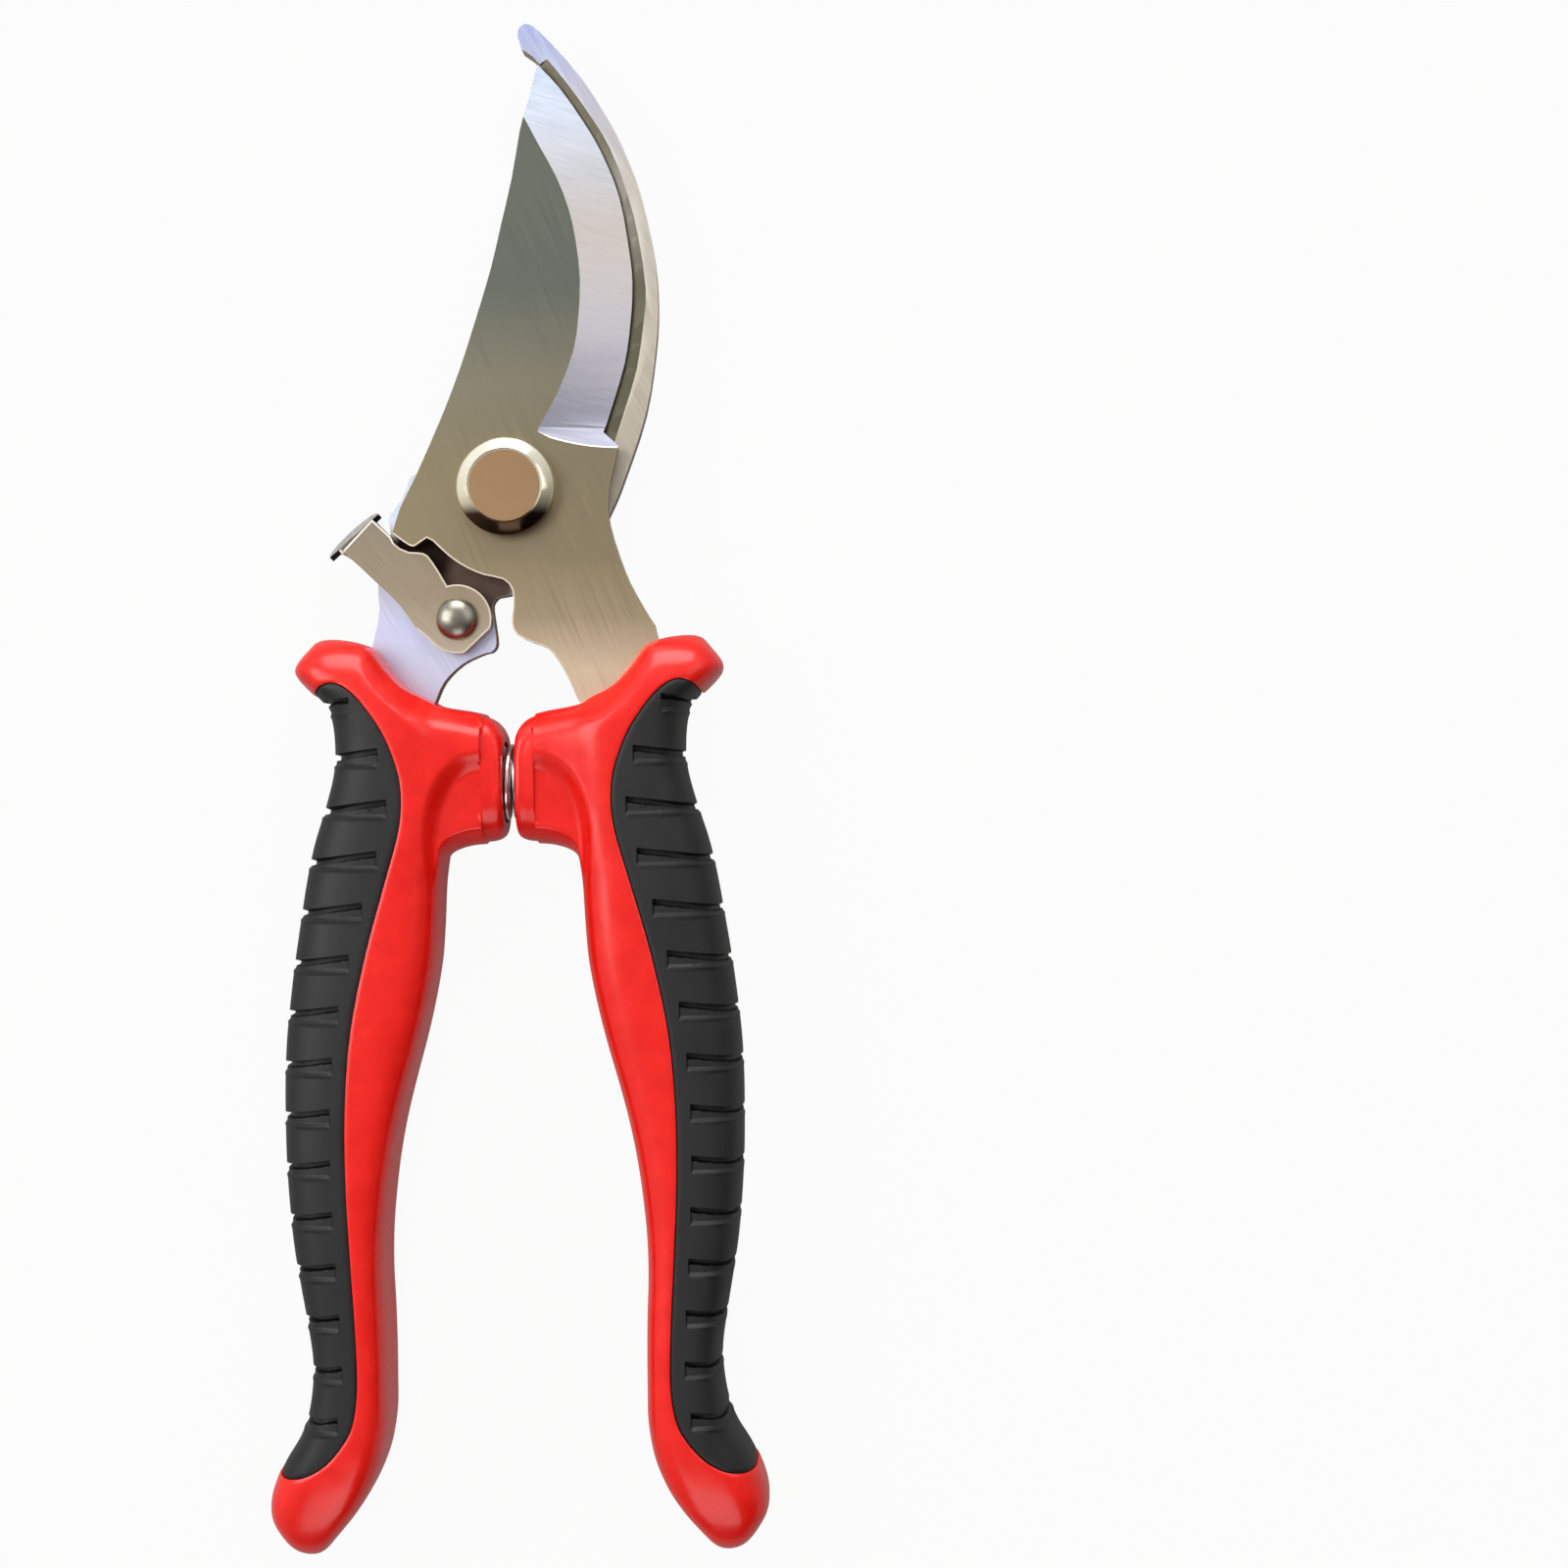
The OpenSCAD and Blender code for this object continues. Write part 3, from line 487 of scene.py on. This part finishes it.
COLLAR_X = 3.5               # where the round collar starts
COLLAR_STEP = 0.75
COLLAR_WALL = 0.15

PANEL_AT = (2.9, -46.2)      # middle of the sunk panel beside the boss
PANEL_HALF = (8.1, 12.2)
PANEL_N = 2.3
PANEL_WALL = 2.0             # width of its sloping wall
PANEL_FLOOR = 6.3            # half thickness left at the spring, a little less towards the tail
PANEL_FLOOR_Y = -40

SPRING_Y = -38.3
SOCKET_R = 5.4
SOCKET_MOUTH = 2.0           # the socket opens in the part of the boss nearer to the middle than this
SOCKET_END = 9.6

GRIP_T = 1.9                 # how far the core lies below the grip's face
GRIP_WALL = 1.7
SEAM_CORE = (0.35, 0.14)     # width and drop of the rounding on the red side of the grip's line
SEAM_GRIP = (0.5, 0.3)       # and on the black side

GROOVE_N = 15
GROOVE_Y = -29.5             # lower lip of the first groove
GROOVE_STEP = 6.57
GROOVE_HIGH = 2.35           # height of a groove at its inner end
GROOVE_TAPER = 0.115         # how fast its upper edge falls outwards
GROOVE_IN = 1.9              # how far its inner end lies from the grip's line
GROOVE_END = 0.15            # width of the wall at its inner end
SLIT = (0.12, 0.66)          # where a groove's slit starts and ends below the groove's upper edge
SLIT_RAMP = 0.2              # width of the slit's lower wall
SLIT_DEPTH = 1.35
FLOOR_DEPTH = 0.35
LIP_RISE = 0.12
LIP_HALF = 0.4               # half width of the raised lip


def rounded(across, up, turn, low_power, high_power):
    """A point of a boxy round, across a range and up by a half height; its two sides have their own power."""
    power = 2 / (low_power if math.cos(turn) < 0 else high_power)
    place = sum(across) / 2 + (across[1] - across[0]) / 2 * signed_power(math.cos(turn), power)
    return place, MID_Z + up * signed_power(math.sin(turn), power)


def form_section(row, turn):
    """A point of the handle's rounded section."""
    y, inner, outer, half = row
    x, z = rounded((inner, outer), half, turn, INNER_N, OUTER_N)
    return Vector((x, y, z))


def boss_section(row, turn):
    """A point of the boss's rounded section."""
    x, top, bottom, half = row
    y, z = rounded((top, bottom), half, turn, BOSS_TOP_N, BOSS_LOW_N)
    return Vector((x, y, z))


BEYOND = 40.0                # a distance that lies outside the handle
GRIP_LINE = smooth_loop(GRIP_EDGE) + [(BEYOND, GRIP_EDGE[-1][1]), (BEYOND, GRIP_EDGE[0][1])]
# the part of the grip's line that faces the red body, by height
INNER_Y, INNER_X = zip(*sorted((y, x) for x, y in smooth_loop(GRIP_EDGE[4:22])))


def grip_depth(points):
    """Distance inside the grip's line."""
    return loop_distance(points, GRIP_LINE)


def groove_place(points):
    """Where points lie in their groove: below its upper edge, above its lower lip, and past its inner end."""
    best = np.full((len(points), 3), -9.0)
    for k in range(GROOVE_N):
        lip = GROOVE_Y - k * GROOVE_STEP
        start = np.interp(lip + 1.2, INNER_Y, INNER_X) + GROOVE_IN
        x, y = points[:, 0], points[:, 1]
        here = np.stack([lip + GROOVE_HIGH - GROOVE_TAPER * (x - start) - y, y - lip, x - start], axis=1)
        nearer = here.min(axis=1) > best.min(axis=1)
        best[nearer] = here[nearer]
    return best


def panel_depth(points):
    """Distance inside the sunk panel beside the boss."""
    across = np.abs(points[:, 0] - PANEL_AT[0]) / PANEL_HALF[0]
    down = np.abs(points[:, 1] - PANEL_AT[1]) / PANEL_HALF[1]
    oval = (1 - (across ** PANEL_N + down ** PANEL_N) ** (1 / PANEL_N)) * PANEL_HALF[0]
    return np.minimum(oval, (points[:, 0] - COLLAR_X + COLLAR_WALL) * PANEL_WALL / COLLAR_WALL)


def handle_skin():
    """The red body with its boss, grown together as one moulded skin."""
    body = lofted(FORM_ROWS, form_section, 170, 72)
    boss = lofted(BOSS_ROWS, boss_section, 20, 64)
    joined = bpy.data.meshes.new("joined")
    boss.to_mesh(joined)
    body.from_mesh(joined)
    body.to_mesh(joined)
    body.free()
    boss.free()
    carrier = bpy.data.objects.new("joined", joined)
    bpy.context.scene.collection.objects.link(carrier)
    grow = carrier.modifiers.new("grow", "REMESH")
    grow.mode = "VOXEL"
    grow.voxel_size = SKIN_MM
    skin = bmesh.new()
    skin.from_mesh(carrier.evaluated_get(bpy.context.evaluated_depsgraph_get()).to_mesh())
    bpy.data.objects.remove(carrier)
    for _ in range(10):
        bmesh.ops.smooth_vert(skin, verts=skin.verts, factor=0.5,
                              use_axis_x=True, use_axis_y=True, use_axis_z=True)
    return skin


def press_ridge(skin):
    """Slope both faces down to the contour beside the blades, which leaves a ridge inside it."""
    points = places(skin)
    gap = line_gap(points, RIDGE) - RIDGE_IN
    # half thickness along the ridge, from the collar to the handle's own face
    plateau = np.interp(points[:, 0], [COLLAR_X, 9, 14], [7.7, 8.3, 8.8])
    limit = plateau + np.where(gap < 0, *RIDGE_FALL) * gap
    rise = np.abs(points[:, 2] - MID_Z)
    lower = -RIDGE_SOFT * np.log(np.exp(-rise / RIDGE_SOFT) + np.exp(-limit / RIDGE_SOFT))
    for v in skin.verts:
        if v.co.x > COLLAR_X - 0.3 and rise[v.index] > 2:
            v.co.z = MID_Z + math.copysign(lower[v.index], v.co.z - MID_Z)


def turn_collar(skin):
    """Step the boss down to the round collar that faces the other handle."""
    for level in (COLLAR_X, COLLAR_X - COLLAR_WALL):
        cut(skin, lambda points: points[:, 0] - level)

    def step(points, normals):
        share = np.clip((COLLAR_X - points[:, 0]) / COLLAR_WALL, 0, 1)
        return COLLAR_STEP * share * (1 - normals[:, 0] ** 2) * (0.35 + 0.65 * np.abs(normals[:, 2]))
    sink(skin, step)


def sink_panel(skin):
    """Press the panel beside the boss into both faces."""
    for level in (0, PANEL_WALL / 2, PANEL_WALL):
        cut(skin, lambda points: panel_depth(points) - level)
    inside = panel_depth(places(skin))
    for v in skin.verts:
        share = min(max(inside[v.index] / PANEL_WALL, 0), 1)
        rise = v.co.z - MID_Z
        floor = PANEL_FLOOR + 0.05 * (v.co.y - PANEL_FLOOR_Y)
        if share > 0 and abs(rise) > floor:
            eased = share ** 2 * (3 - 2 * share)
            v.co.z = MID_Z + math.copysign(abs(rise) + (floor - abs(rise)) * eased, rise)


def sink_socket(skin):
    """Bore the spring's socket into the boss's face."""
    def bore(points):
        radius = np.hypot(points[:, 1] - SPRING_Y, points[:, 2] - MID_Z)
        return np.where(points[:, 0] < SOCKET_MOUTH, SOCKET_R - radius, -1)

    def reach_end(corner):
        corner.co.x = SOCKET_END
    cut(skin, bore)
    open_faces = bore(middles(skin.faces)) > 0
    pull(skin, [f for f, opened in zip(skin.faces, open_faces) if opened], reach_end)


def split_grip(skin):
    """Cut the grip's line and give back the core and the grip as two skins."""
    def step_in(corner):
        corner.co -= corner.normal * GRIP_T
    cut(skin, grip_depth)
    grip = skin.copy()
    covered = grip_depth(middles(skin.faces)) > 0
    bmesh.ops.delete(grip, geom=[f for f, kept in zip(grip.faces, covered) if not kept], context="FACES")
    skin.normal_update()
    pull(skin, [f for f, kept in zip(skin.faces, covered) if kept], step_in)
    return skin, grip


def round_line(skin, width, drop, side):
    """Round the skin down to the grip's line over a width: side is 1 for the grip and -1 for the red body."""
    for level in (width, width * 0.4):
        cut(skin, lambda points: grip_depth(points) - side * level)

    def fall(points, normals):
        share = np.clip(1 - grip_depth(points) * side / width, 0, 1)
        return drop * share ** 2
    sink(skin, fall)


def groove_line(below, above, past):
    """A field that is zero on a line inside each groove, set back from its upper edge, lower lip and end."""
    return lambda points: (groove_place(points) - (below, above, past)).min(axis=1)


def carve_grooves(grip):
    """Each groove: a narrow slit under a sharp upper edge, then a shallow floor up to a raised lower lip."""
    near = groove_line(-0.5, -0.6, -0.4)(middles(grip.faces)) > 0
    beside = {f for f, wanted in zip(grip.faces, near) if wanted}
    edges = [e for e in grip.edges if any(f in beside for f in e.link_faces)]
    bmesh.ops.subdivide_edges(grip, edges=edges, cuts=1, use_grid_fill=True)
    slit_start, slit_end = SLIT
    for line in ((0, 0, 0), (slit_start, 0, GROOVE_END), (slit_end, 0, GROOVE_END),
                 (slit_end + SLIT_RAMP, 0, GROOVE_END), (0, LIP_HALF, 0), (0, -LIP_HALF, 0)):
        cut(grip, groove_line(*line), 0.12)

    def carve(points, normals):
        below, above, past = groove_place(points).T
        flat = 0.3 + 0.7 * np.abs(normals[:, 2]) ** 0.5
        inside = np.clip(below / slit_start, 0, 1) * np.clip(past / GROOVE_END, 0, 1)
        over_lip = np.clip(above / LIP_HALF, 0, 1)
        floor = FLOOR_DEPTH * over_lip
        slit = SLIT_DEPTH * np.clip((slit_end + SLIT_RAMP - below) / SLIT_RAMP, 0, 1) * over_lip
        lip = LIP_RISE * np.clip(1 - np.abs(above) / LIP_HALF, 0, 1) * np.clip(past / 0.6, 0, 1)
        return flat * (inside * np.maximum(floor, slit) - lip)
    sink(grip, carve)


def thicken(grip, thickness):
    """Close the grip with an inner face and walls."""
    grip.normal_update()
    before = list(grip.verts)
    inward = {v: v.normal.copy() for v in before}
    bmesh.ops.extrude_face_region(grip, geom=list(grip.faces), use_keep_orig=True)
    for v in before:
        v.co -= inward[v] * thickness
    bmesh.ops.recalc_face_normals(grip, faces=grip.faces)


def build_handles():
    """Both handles and both grips."""
    skin = handle_skin()
    press_ridge(skin)
    turn_collar(skin)
    sink_panel(skin)
    sink_socket(skin)
    round_line(skin, *SEAM_CORE, -1)
    core, grip = split_grip(skin)
    round_line(grip, *SEAM_GRIP, 1)
    carve_grooves(grip)
    thicken(grip, GRIP_WALL)
    for side, body, rubber in (("hook", mirrored(core), mirrored(grip)), ("blade", core, grip)):
        finish_piece(body, side + "_side_handle_body", ["red"], side + "_side",
                     [side + "_handle"], 60)
        finish_piece(rubber, side + "_side_soft_grip", ["black"], side + "_side",
                     [side + "_grip"], 50)


# ---------------------------------------------------------------- blades

# a blade's surfaces, in the order of its finishes; STRIP is only a mark until its faces get one of them
FLAT, GROUND, SIDE, EDGE_HIGHLIGHT, FAINT_HIGHLIGHT, STRIP = range(6)
BLADE_TOP = 11.45            # just under the cutting blade's top face
RUN_OUT_X = (3.9, 14.7)      # the end of the grind lies between these
RUN_OUT_Y = (5.0, 7.7)
BOW = 0.5                    # how far it bows towards the handles
RUN_OUT_WIDTH = 0.45
EDGE_WIDTH = 0.16
HEEL_Y = -5.5                # the strip shows only on the heel, below this and left of a slanting line


def run_out(edge):
    """An edge at the end of the bevel's grind, on the blade's top face."""
    def within(spot):
        in_plan = RUN_OUT_X[0] < spot.x < RUN_OUT_X[1] and RUN_OUT_Y[0] < spot.y < RUN_OUT_Y[1]
        return in_plan and spot.z > BLADE_TOP
    return all(within(v.co) for v in edge.verts) and rim_edge(edge)


def bow_run_out(bm, pieces=6):
    """Bow the upright wall at the end of the grind towards the handles, as the wheel leaves it."""
    edge = next(e for e in bm.edges if run_out(e))
    a, b = sorted(edge.verts, key=lambda v: v.co.x)
    wall = max(edge.link_faces, key=lambda f: abs(f.normal.y))
    c = next(v for v in wall.verts if v not in (a, b))
    down = Vector((b.co.y - a.co.y, a.co.x - b.co.x, 0)).normalized()
    lines = []
    for far in (b, c):
        near, start, end = a, a.co.copy(), far.co.copy()
        line = []
        for k in range(1, pieces):
            share = k / pieces
            rest = next(e for e in near.link_edges if far in e.verts)
            near = bmesh.utils.edge_split(rest, near, 1 / (pieces - k + 1))[1]
            near.co = start.lerp(end, share) + down * BOW * 4 * share * (1 - share)
            line.append(near)
        lines.append(line)
    for pair in zip(*lines):
        bmesh.ops.connect_verts(bm, verts=list(pair))
    bm.normal_update()


def mark_surfaces(bm, tilt):
    """Mark the flat faces, the ground bevel and the side walls; a face flatter than tilt is flat."""
    bm.normal_update()
    for face in bm.faces:
        slope = face.normal.z
        if slope > tilt or slope < -0.9:
            face.material_index = FLAT
        else:
            face.material_index = GROUND if slope > 0.5 else SIDE


def highlight_heel(bm):
    """Paint a faint highlight along the outline of the cutting blade's heel; elsewhere the strip stays plain.
    """
    def on_top(face):
        return face.normal.z > FLAT_TOP and face.calc_center_median().z > BLADE_TOP
    highlight_strip(bm, 0.2, on_top, STRIP, even=False)
    for face in bm.faces:
        if face.material_index == STRIP:
            spot = face.calc_center_median()
            plain = spot.y > HEEL_Y or spot.x > 7 - 0.25 * (spot.y + 12)
            face.material_index = FLAT if plain else FAINT_HIGHLIGHT


def build_blades():
    """The two plates: edges broken, and a finish for each ground surface."""
    edges = ["steel side", "edge highlight", "faint edge highlight"]
    blade = node_copy("cutting_blade")
    mark_surfaces(blade, 0.99)
    bow_run_out(blade)
    # painted highlight: the bowed run-out and the broken edges take the near-white edge finish
    break_edges(blade, RUN_OUT_WIDTH, run_out, EDGE_HIGHLIGHT, 3)
    break_edges(blade, EDGE_WIDTH, rim_edge, EDGE_HIGHLIGHT)
    highlight_heel(blade)
    finish_piece(blade, "cutting_blade_steel", ["blade flat", "blade grind"] + edges, "blade_side",
                 ["cutting_blade"], 12)
    hook = node_copy("hook_blade")
    mark_surfaces(hook, FLAT_FACE)
    # painted highlight on the hook's broken edges too
    break_edges(hook, EDGE_WIDTH, rim_edge, EDGE_HIGHLIGHT)
    finish_piece(hook, "hook_blade_steel", ["hook flat", "hook relief"] + edges, "hook_side",
                 ["hook_blade"], 12)


# ---------------------------------------------------------------- lock lever

# the lever's surfaces, in the order of its finishes
PLATE, LEVER_HIGHLIGHT, SHADED_EAR, LIT_TAB, LEVER_FAINT_HIGHLIGHT = range(5)
SHEET = 1.3                  # thickness of the lever's sheet
FOLD_AT = (-20.1, -5.95)     # middle of the lever's fold
FOLD_TURN = math.radians(41.2)
FOLD_OUT = Vector((-math.sin(FOLD_TURN), math.cos(FOLD_TURN), 0))
FOLD_ALONG = Vector((math.cos(FOLD_TURN), math.sin(FOLD_TURN), 0))
ARM_CORNER = Vector((-10.9, -20.0))     # where the arm meets the eye
TAB_REACH = -1.89            # the tab's corners lie farther out than this, and lower than the next
TAB_DROP = 0.6
TAB_LEAN = 0.23              # how far the tab leans out for each mm that it hangs down
EAR_SIDE = 2.6               # the ears lie farther than this from the fold's middle
EAR_TIP = 4.5


def from_fold(spot, top):
    """Where a place lies from the lever's fold: outwards past it, along it, and below the lever's top."""
    there = spot - Vector((*FOLD_AT, top))
    return there.dot(FOLD_OUT), there.dot(FOLD_ALONG), -there.z


def bend_tab(bm, top):
    """Draw the tab out to its leaning face, and give back how far each of its corners is from the middle."""
    tab = {}
    for v in bm.verts:
        reach, side, drop = from_fold(v.co, top)
        if reach > TAB_REACH and drop > TAB_DROP:
            tab[v] = abs(side)
            hang = drop - SHEET
            v.co += FOLD_OUT * (0.55 * (TAB_LEAN * hang - reach) + 0.35 + 0.1 * hang)
            if abs(side) > EAR_TIP:
                v.co -= FOLD_ALONG * math.copysign(0.6, side)
        elif reach < -0.9 and -2.8 < side < -2.7:
            v.co += FOLD_ALONG * 0.45       # the bend's shoulder
    return tab


def mark_tab(bm, tab):
    """Mark the ends of the ears, and the rest of the tab."""
    for face in bm.faces:
        if all(v in tab for v in face.verts):
            corners = len(face.verts)
            at_side = sum(tab[v] for v in face.verts) > EAR_SIDE * corners
            # painted shadow and highlight: the ears' ends take the nearly black finish, the rest of the tab
            # the pale one
            face.material_index = SHADED_EAR if at_side and corners < 7 else LIT_TAB


def highlight_outline(bm, top):
    """Paint highlights along the outline of the lever's face: bright by the fold, faint at the eye and on the
    right.
    """
    def on_top(face):
        return face.normal.z > FLAT_TOP and face.calc_center_median().z > top - 0.3
    highlight_strip(bm, 0.22, on_top, LEVER_FAINT_HIGHLIGHT)
    for face in bm.faces:
        reach, side, _ = from_fold(face.calc_center_median(), top)
        if face.material_index == LEVER_FAINT_HIGHLIGHT:
            if reach > -1.2 or side > 1.5 and reach > -4.2:
                face.material_index = LEVER_HIGHLIGHT
            elif side <= 1.8 and reach >= -14:
                face.material_index = PLATE
        elif face.material_index == LEVER_HIGHLIGHT and side < 1.8 and -14 < reach < -1.2:
            face.material_index = PLATE


def build_lever():
    """The lock lever: pressed from sheet, with all its edges broken."""
    bm = node_copy("lock_lever")
    corner = [e for e in bm.edges if all((v.co.xy - ARM_CORNER).length < 0.05 for v in e.verts)]
    bmesh.ops.dissolve_edges(bm, edges=corner, use_verts=True)
    top = max(v.co.z for v in bm.verts)
    mark_tab(bm, bend_tab(bm, top))
    # painted highlight: the broken edges take the near-white edge finish
    break_edges(bm, 0.12, rim_edge, LEVER_HIGHLIGHT)
    bm.normal_update()
    highlight_outline(bm, top)
    finish_piece(bm, "lock_lever_plate", ["lever", "edge highlight", "ear", "tab", "faint edge highlight"], "lock_lever",
                 ["lock_lever"], 12)


# ---------------------------------------------------------------- bolt, rivet and spring

RIVET_AT = (-6.8, -16.9)
HEAD_Z = 11.56               # where the bolt's head sits on the blade
HEAD_TOP = HEAD_Z + 3.0
DOME_Z = 10.92               # where the rivet's dome sits on the lever
RIM, HEAD_FLAT = range(2)

COIL_TURNS = 8.5
COIL_R = 4.4
COIL_HALF = 9.65             # half the spring's length
WIRE_R = 0.6
WIRE_RINGS = 28              # rings of the wire in one turn of the coil


def build_bolt():
    """The bolt: a stepped shank and a flat head whose polished rim stands a little above its brushed top."""
    shank = [(0, 0), (2.5, 0), (3.0, 0.5), (3.0, 5.8), (3.5, 5.8), (3.5, HEAD_Z)]
    side = [(6.1, HEAD_Z), (6.25, HEAD_Z + 0.06), (6.3, HEAD_Z + 0.2),
            (6.3, HEAD_Z + 2.0), (6.24, HEAD_Z + 2.14), (6.12, HEAD_Z + 2.25)]
    rim = [(4.98, HEAD_Z + 3.02), (4.88, HEAD_Z + 3.07), (4.78, HEAD_Z + 3.07), (4.7, HEAD_TOP)]
    bolt = turned(shank + side + rim + [(4.6, HEAD_TOP), (0, HEAD_TOP)])
    for face in bolt.faces:
        middle = face.calc_center_median()
        on_top = middle.z > HEAD_Z + 2.95 and math.hypot(middle.x, middle.y) < 4.5
        face.material_index = HEAD_FLAT if on_top else RIM
    finish_piece(bolt, "pivot_bolt_head", ["rim", "bolt flat"], "hook_side", ["pivot_bolt"], 25)


def build_rivet():
    """The lever's rivet, with its low dome."""
    shank = [(0, 4.8), (2.1, 4.8), (2.5, 5.2), (2.5, 5.8), (1.6, 5.8), (1.6, DOME_Z), (2.65, DOME_Z)]
    leans = np.linspace(0, math.pi / 2, 14)[:-1]
    dome = [(2.75 * math.cos(a), DOME_Z + 0.15 + 1.55 * math.sin(a)) for a in leans]
    rivet = turned(shank + dome + [(0, DOME_Z + 1.7)], RIVET_AT)
    finish_piece(rivet, "lever_rivet_dome", ["rivet"], "hook_side", ["lever_rivet"], 30)


def plate_washers():
    """Zinc plating for the washers and the nut."""
    for node in ("pivot_washer", "pivot_nut", "lever_washer"):
        for slot in nodes[node].material_slots:
            slot.material = FINISH["zinc"]


def wind_spring():
    """Wind the wire: every ring of the wire is set at its place along the coil."""
    bm = bmesh.new()
    bmesh.ops.create_grid(bm, x_segments=int(COIL_TURNS * WIRE_RINGS), y_segments=12, size=0.5)
    for v in bm.verts:
        s = v.co.x + 0.5
        a = math.tau * COIL_TURNS * s
        b = math.tau * (v.co.y + 0.5)
        # the turns lie a little closer in the middle
        along = s + 0.3 * math.sin(math.tau * s) / math.tau
        x = -COIL_HALF + WIRE_R + (2 * COIL_HALF - 2 * WIRE_R) * along
        out = COIL_R + WIRE_R * math.cos(b)
        v.co = (x + WIRE_R * math.sin(b), SPRING_Y + out * math.sin(a), MID_Z + out * math.cos(a))
    bmesh.ops.remove_doubles(bm, verts=bm.verts, dist=0.0005)
    bmesh.ops.holes_fill(bm, edges=[e for e in bm.edges if e.is_boundary], sides=0)
    bmesh.ops.recalc_face_normals(bm, faces=bm.faces)
    spring = finish_piece(bm, "return_spring_coil", ["spring"], None, ["return_spring"], 60)
    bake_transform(spring)


# ---------------------------------------------------------------- table, light and camera

WHITE = "#ffffff"
# name, place in metres, width in metres, watts
LAMPS = [
    ("far_panel", (0.0, 0.72, 0.4), 0.6, 4.9), ("left_panel", (-0.52, 0.12, 0.62), 0.5, 2.8),
    ("right_panel", (0.5, 0.2, 0.6), 0.5, 0.75), ("near_panel", (0.0, -0.62, 0.5), 0.4, 1.0)]
LIT_SPOT = Vector((0, -0.04, 0))        # where the lamps point
BRIGHT_SIDE = (-0.42, 0.82, -0.2)       # the room is light on this side and dark behind the handles
CAMERA_UP = 0.32                        # how high the camera stands over the blades, in metres
CAMERA_AT = (35.57, -39.01)             # it stands to the right of the handles, in mm
CAMERA_TURN = -0.01348
VIEW_WIDTH = 0.2058                     # metres across, in the blades' plane


def build_table():
    """A plain pale table: white to the eye, and grey enough to hold a soft shadow."""
    material, tree = new_material("pale table top")
    paint = add(tree, "BsdfPrincipled", Base_Color=srgb("#a09e9c"), Roughness=0.9, Specular_IOR_Level=0.0)
    glow = add(tree, "Emission", Color=srgb(WHITE), Strength=1.0)
    path = add(tree, "LightPath")
    # polished steel mirrors only a little of the white
    mirror = add(tree, "Math", {"operation": "MULTIPLY"}, i0=(path, "Is Glossy Ray"), i1=0.12)
    seen = add(tree, "Math", {"operation": "MAXIMUM"}, i0=(path, "Is Camera Ray"), i1=(mirror, "Value"))
    through = add(tree, "Math", {"operation": "MAXIMUM"},
                  i0=(seen, "Value"), i1=(path, "Is Transmission Ray"))
    share = add(tree, "Math", {"operation": "MULTIPLY"}, i0=(through, "Value"), i1=0.95)
    mixed = add(tree, "MixShader", Fac=(share, "Value"), i1=(paint, "BSDF"), i2=(glow, "Emission"))
    add(tree, "OutputMaterial", Surface=(mixed, "Shader"))
    bm = bmesh.new()
    bmesh.ops.create_grid(bm, x_segments=2, y_segments=2, size=3.0)
    mesh = bpy.data.meshes.new("table_top")
    bm.to_mesh(mesh)
    bm.free()
    mesh.materials.append(material)
    table = bpy.data.objects.new("table_top", mesh)
    bpy.context.scene.collection.objects.link(table)


def build_room():
    """A room that is white to the eye; the steel sees it light beyond the blades, dark behind the handles."""
    world = bpy.data.worlds.new("pale studio")
    bpy.context.scene.world = world
    world.use_nodes = True
    tree = world.node_tree
    tree.nodes.clear()
    lean = add(tree, "VectorMath", {"operation": "DOT_PRODUCT"},
               i0=(add(tree, "TexCoord"), "Generated"), i1=BRIGHT_SIDE)
    lift = add(tree, "MapRange", Value=(lean, "Value"), From_Min=-1.0, From_Max=1.0)
    shade = add(tree, "ValToRGB", Fac=(lift, "Result"),
                stops=[(0.05, "#35312e"), (0.37, "#adabaa"), (0.65, "#dedcdb"), (0.95, WHITE)])
    room = add(tree, "Background", Color=(shade, "Color"), Strength=1.0)
    white = add(tree, "Background", Color=srgb(WHITE), Strength=1.0)
    path = add(tree, "LightPath")
    mixed = add(tree, "MixShader", Fac=(path, "Is Camera Ray"),
                i1=(room, "Background"), i2=(white, "Background"))
    add(tree, "OutputWorld", Surface=(mixed, "Shader"))


def hang_lamps():
    """Soft square panels: a low one beyond the blades, one on the left, and two weak ones to fill."""
    for name, spot, width, power in LAMPS:
        lamp = bpy.data.lights.new(name, "AREA")
        lamp.shape = "SQUARE"
        lamp.size = width
        lamp.energy = power
        holder = bpy.data.objects.new(name, lamp)
        holder.location = spot
        holder.rotation_euler = (LIT_SPOT - Vector(spot)).to_track_quat("-Z", "Y").to_euler()
        bpy.context.scene.collection.objects.link(holder)


def build_camera():
    """Straight down, close enough that the handles show a little of their sides."""
    lens = bpy.data.cameras.new("above")
    lens.sensor_width = 36
    lens.lens = 36 * CAMERA_UP / VIEW_WIDTH
    lens.clip_start = 0.01
    camera = bpy.data.objects.new("above", lens)
    camera.location = (CAMERA_AT[0] * MM, CAMERA_AT[1] * MM, MID_Z * MM + CAMERA_UP)
    camera.rotation_euler = (0, 0, CAMERA_TURN)
    bpy.context.scene.collection.objects.link(camera)
    bpy.context.scene.camera = camera


build_handles()
build_blades()
build_lever()
build_bolt()
build_rivet()
plate_washers()
wind_spring()
build_table()
build_room()
hang_lamps()
build_camera()
bpy.context.scene.view_settings.view_transform = "Standard"
